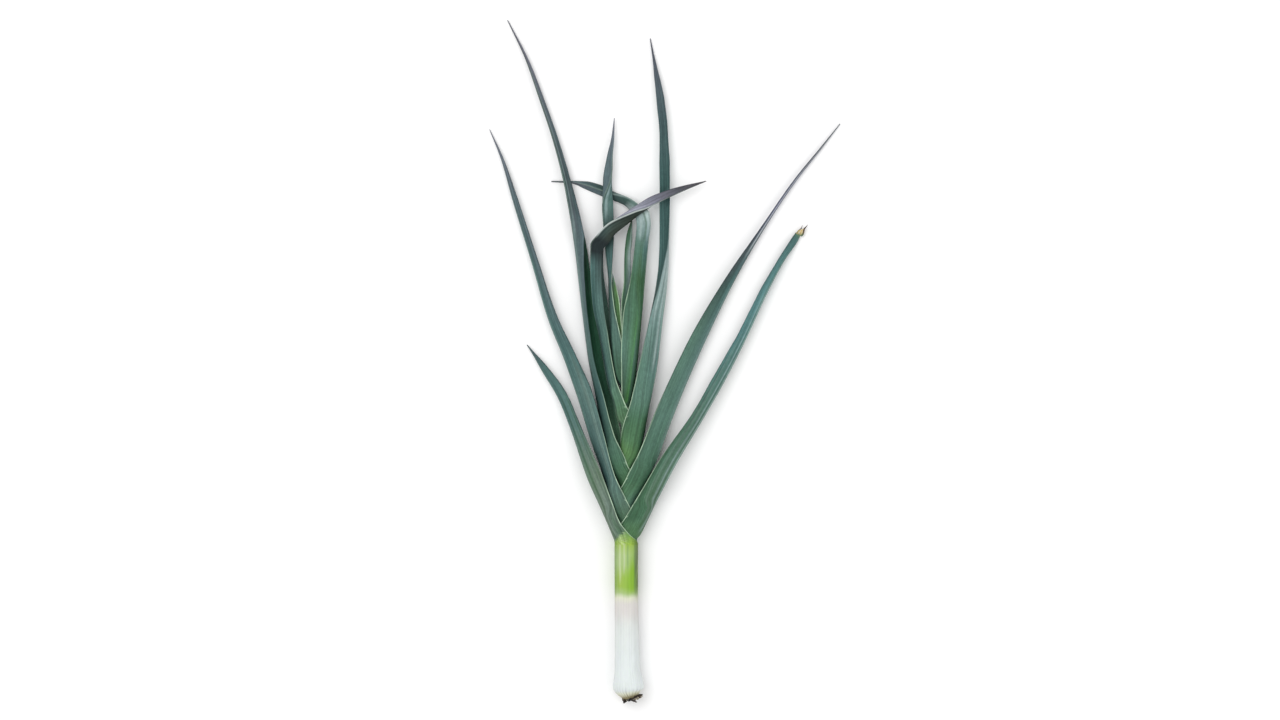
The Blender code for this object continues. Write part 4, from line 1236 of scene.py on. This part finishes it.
def make_plate(look):
    """The corky disc that the sheaths and the roots grow from."""
    centre = box_centre("basal_plate")
    tilt = math.radians(SHAFT_ROWS[0][3])
    axis = np.array((math.sin(tilt), -math.cos(tilt), 0.0))
    right = np.array((math.cos(tilt), math.sin(tilt), 0.0))
    chance = random.Random(77)
    points, tints = [], []
    widest = max(radius for _, radius in PLATE_RINGS)
    for depth, radius in PLATE_RINGS:
        share = min(1.0, (widest - radius) / 5.0)
        for side in range(PLATE_SIDES):
            angle = 2 * math.pi * side / PLATE_SIDES
            r = radius * (1 + 0.035 * math.sin(9 * angle + radius) + 0.02 * chance.uniform(-1, 1))
            d = depth + 0.18 * math.sin(5 * angle + 2 * radius) + 0.12 * chance.uniform(-1, 1)
            points.append(centre + axis * d + right * (r * math.cos(angle)) + UP * (r * math.sin(angle)))
            tone = linear("tan") * (1 - share) + linear("root_brown") * share
            tints.append(tone * chance.uniform(0.75, 1.2))
    faces = ring_quads(len(PLATE_RINGS), PLATE_SIDES).tolist()
    faces.append(list(range(PLATE_SIDES - 1, -1, -1)))
    faces.append(list(range(len(points) - PLATE_SIDES, len(points))))
    tints = np.array(tints)
    add_piece("stem_plate_disc", points, faces, tints, points, None, look, ["basal_plate"])


def make_stage():
    """A wide pale floor, a pale surround and big soft lights."""
    scene = bpy.context.scene
    size = FLOOR_HALF
    mesh = bpy.data.meshes.new("floor")
    mesh.from_pydata([(-size, -size, 0), (size, -size, 0), (size, size, 0), (-size, size, 0)], [], [AS_IS])
    floor = bpy.data.objects.new("floor", mesh)
    scene.collection.objects.link(floor)
    paper = {"Base Color": FLOOR_COLOUR, "Roughness": 0.9, "Specular IOR Level": 0.1}
    mesh.materials.append(Nodes("floor_paper").shade(paper))
    world = bpy.data.worlds.new("studio")
    world.use_nodes = True
    background = world.node_tree.nodes["Background"]
    background.inputs["Color"].default_value = SURROUND
    background.inputs["Strength"].default_value = SURROUND_STRENGTH
    scene.world = world
    for name, place, power, width in LIGHTS:
        light = bpy.data.lights.new(name, "AREA")
        light.energy = power
        light.size = width
        obj = bpy.data.objects.new(name, light)
        obj.location = place
        obj.rotation_euler = Vector(place).to_track_quat("Z", "Y").to_euler()
        scene.collection.objects.link(obj)


def make_camera():
    """The photo's view, from straight above."""
    data = bpy.data.cameras.new("camera")
    data.sensor_width = SENSOR
    data.lens = CAMERA_LENS
    data.clip_end = CAMERA_REACH
    camera = bpy.data.objects.new("camera", data)
    camera.location = ((CAMERA_AT[0] + FOOT[0]) * MM, (CAMERA_AT[1] + FOOT[1]) * MM, CAMERA_HEIGHT * MM)
    bpy.context.scene.collection.objects.link(camera)
    bpy.context.scene.camera = camera


def main():
    """Makes every piece, then the stage and the camera."""
    bpy.context.scene.view_settings.view_transform = "Standard"
    leaf = leaf_material("leaf_skin", (0.16, 0.23, 0.23, 1.0), 0.06, 0.26)
    young = leaf_material("young_leaf_skin", (0.22, 0.34, 0.18, 1.0), 0.06, 0.18)
    make_shaft(sheath_material())
    make_plate(rough_material("stem_plate_cork", 0.7, 1.25, 0.8))
    roots = rough_material("root_fibre", 0.6, 1.4, 0.75)
    for index in range(1, ROOT_COUNT + 1):
        make_root(index, roots)
    lines = []
    for layer, leaf_row in enumerate(LEAVES):
        look, slot = (young, "young_leaf") if layer == len(LEAVES) - 1 else (leaf, "leaf")
        make_leaf(layer, *leaf_row, look, slot, lines)
    make_dry_tip(rough_material("dried_leaf", 0.8, 1.15, 0.7))
    make_stage()
    make_camera()


main()
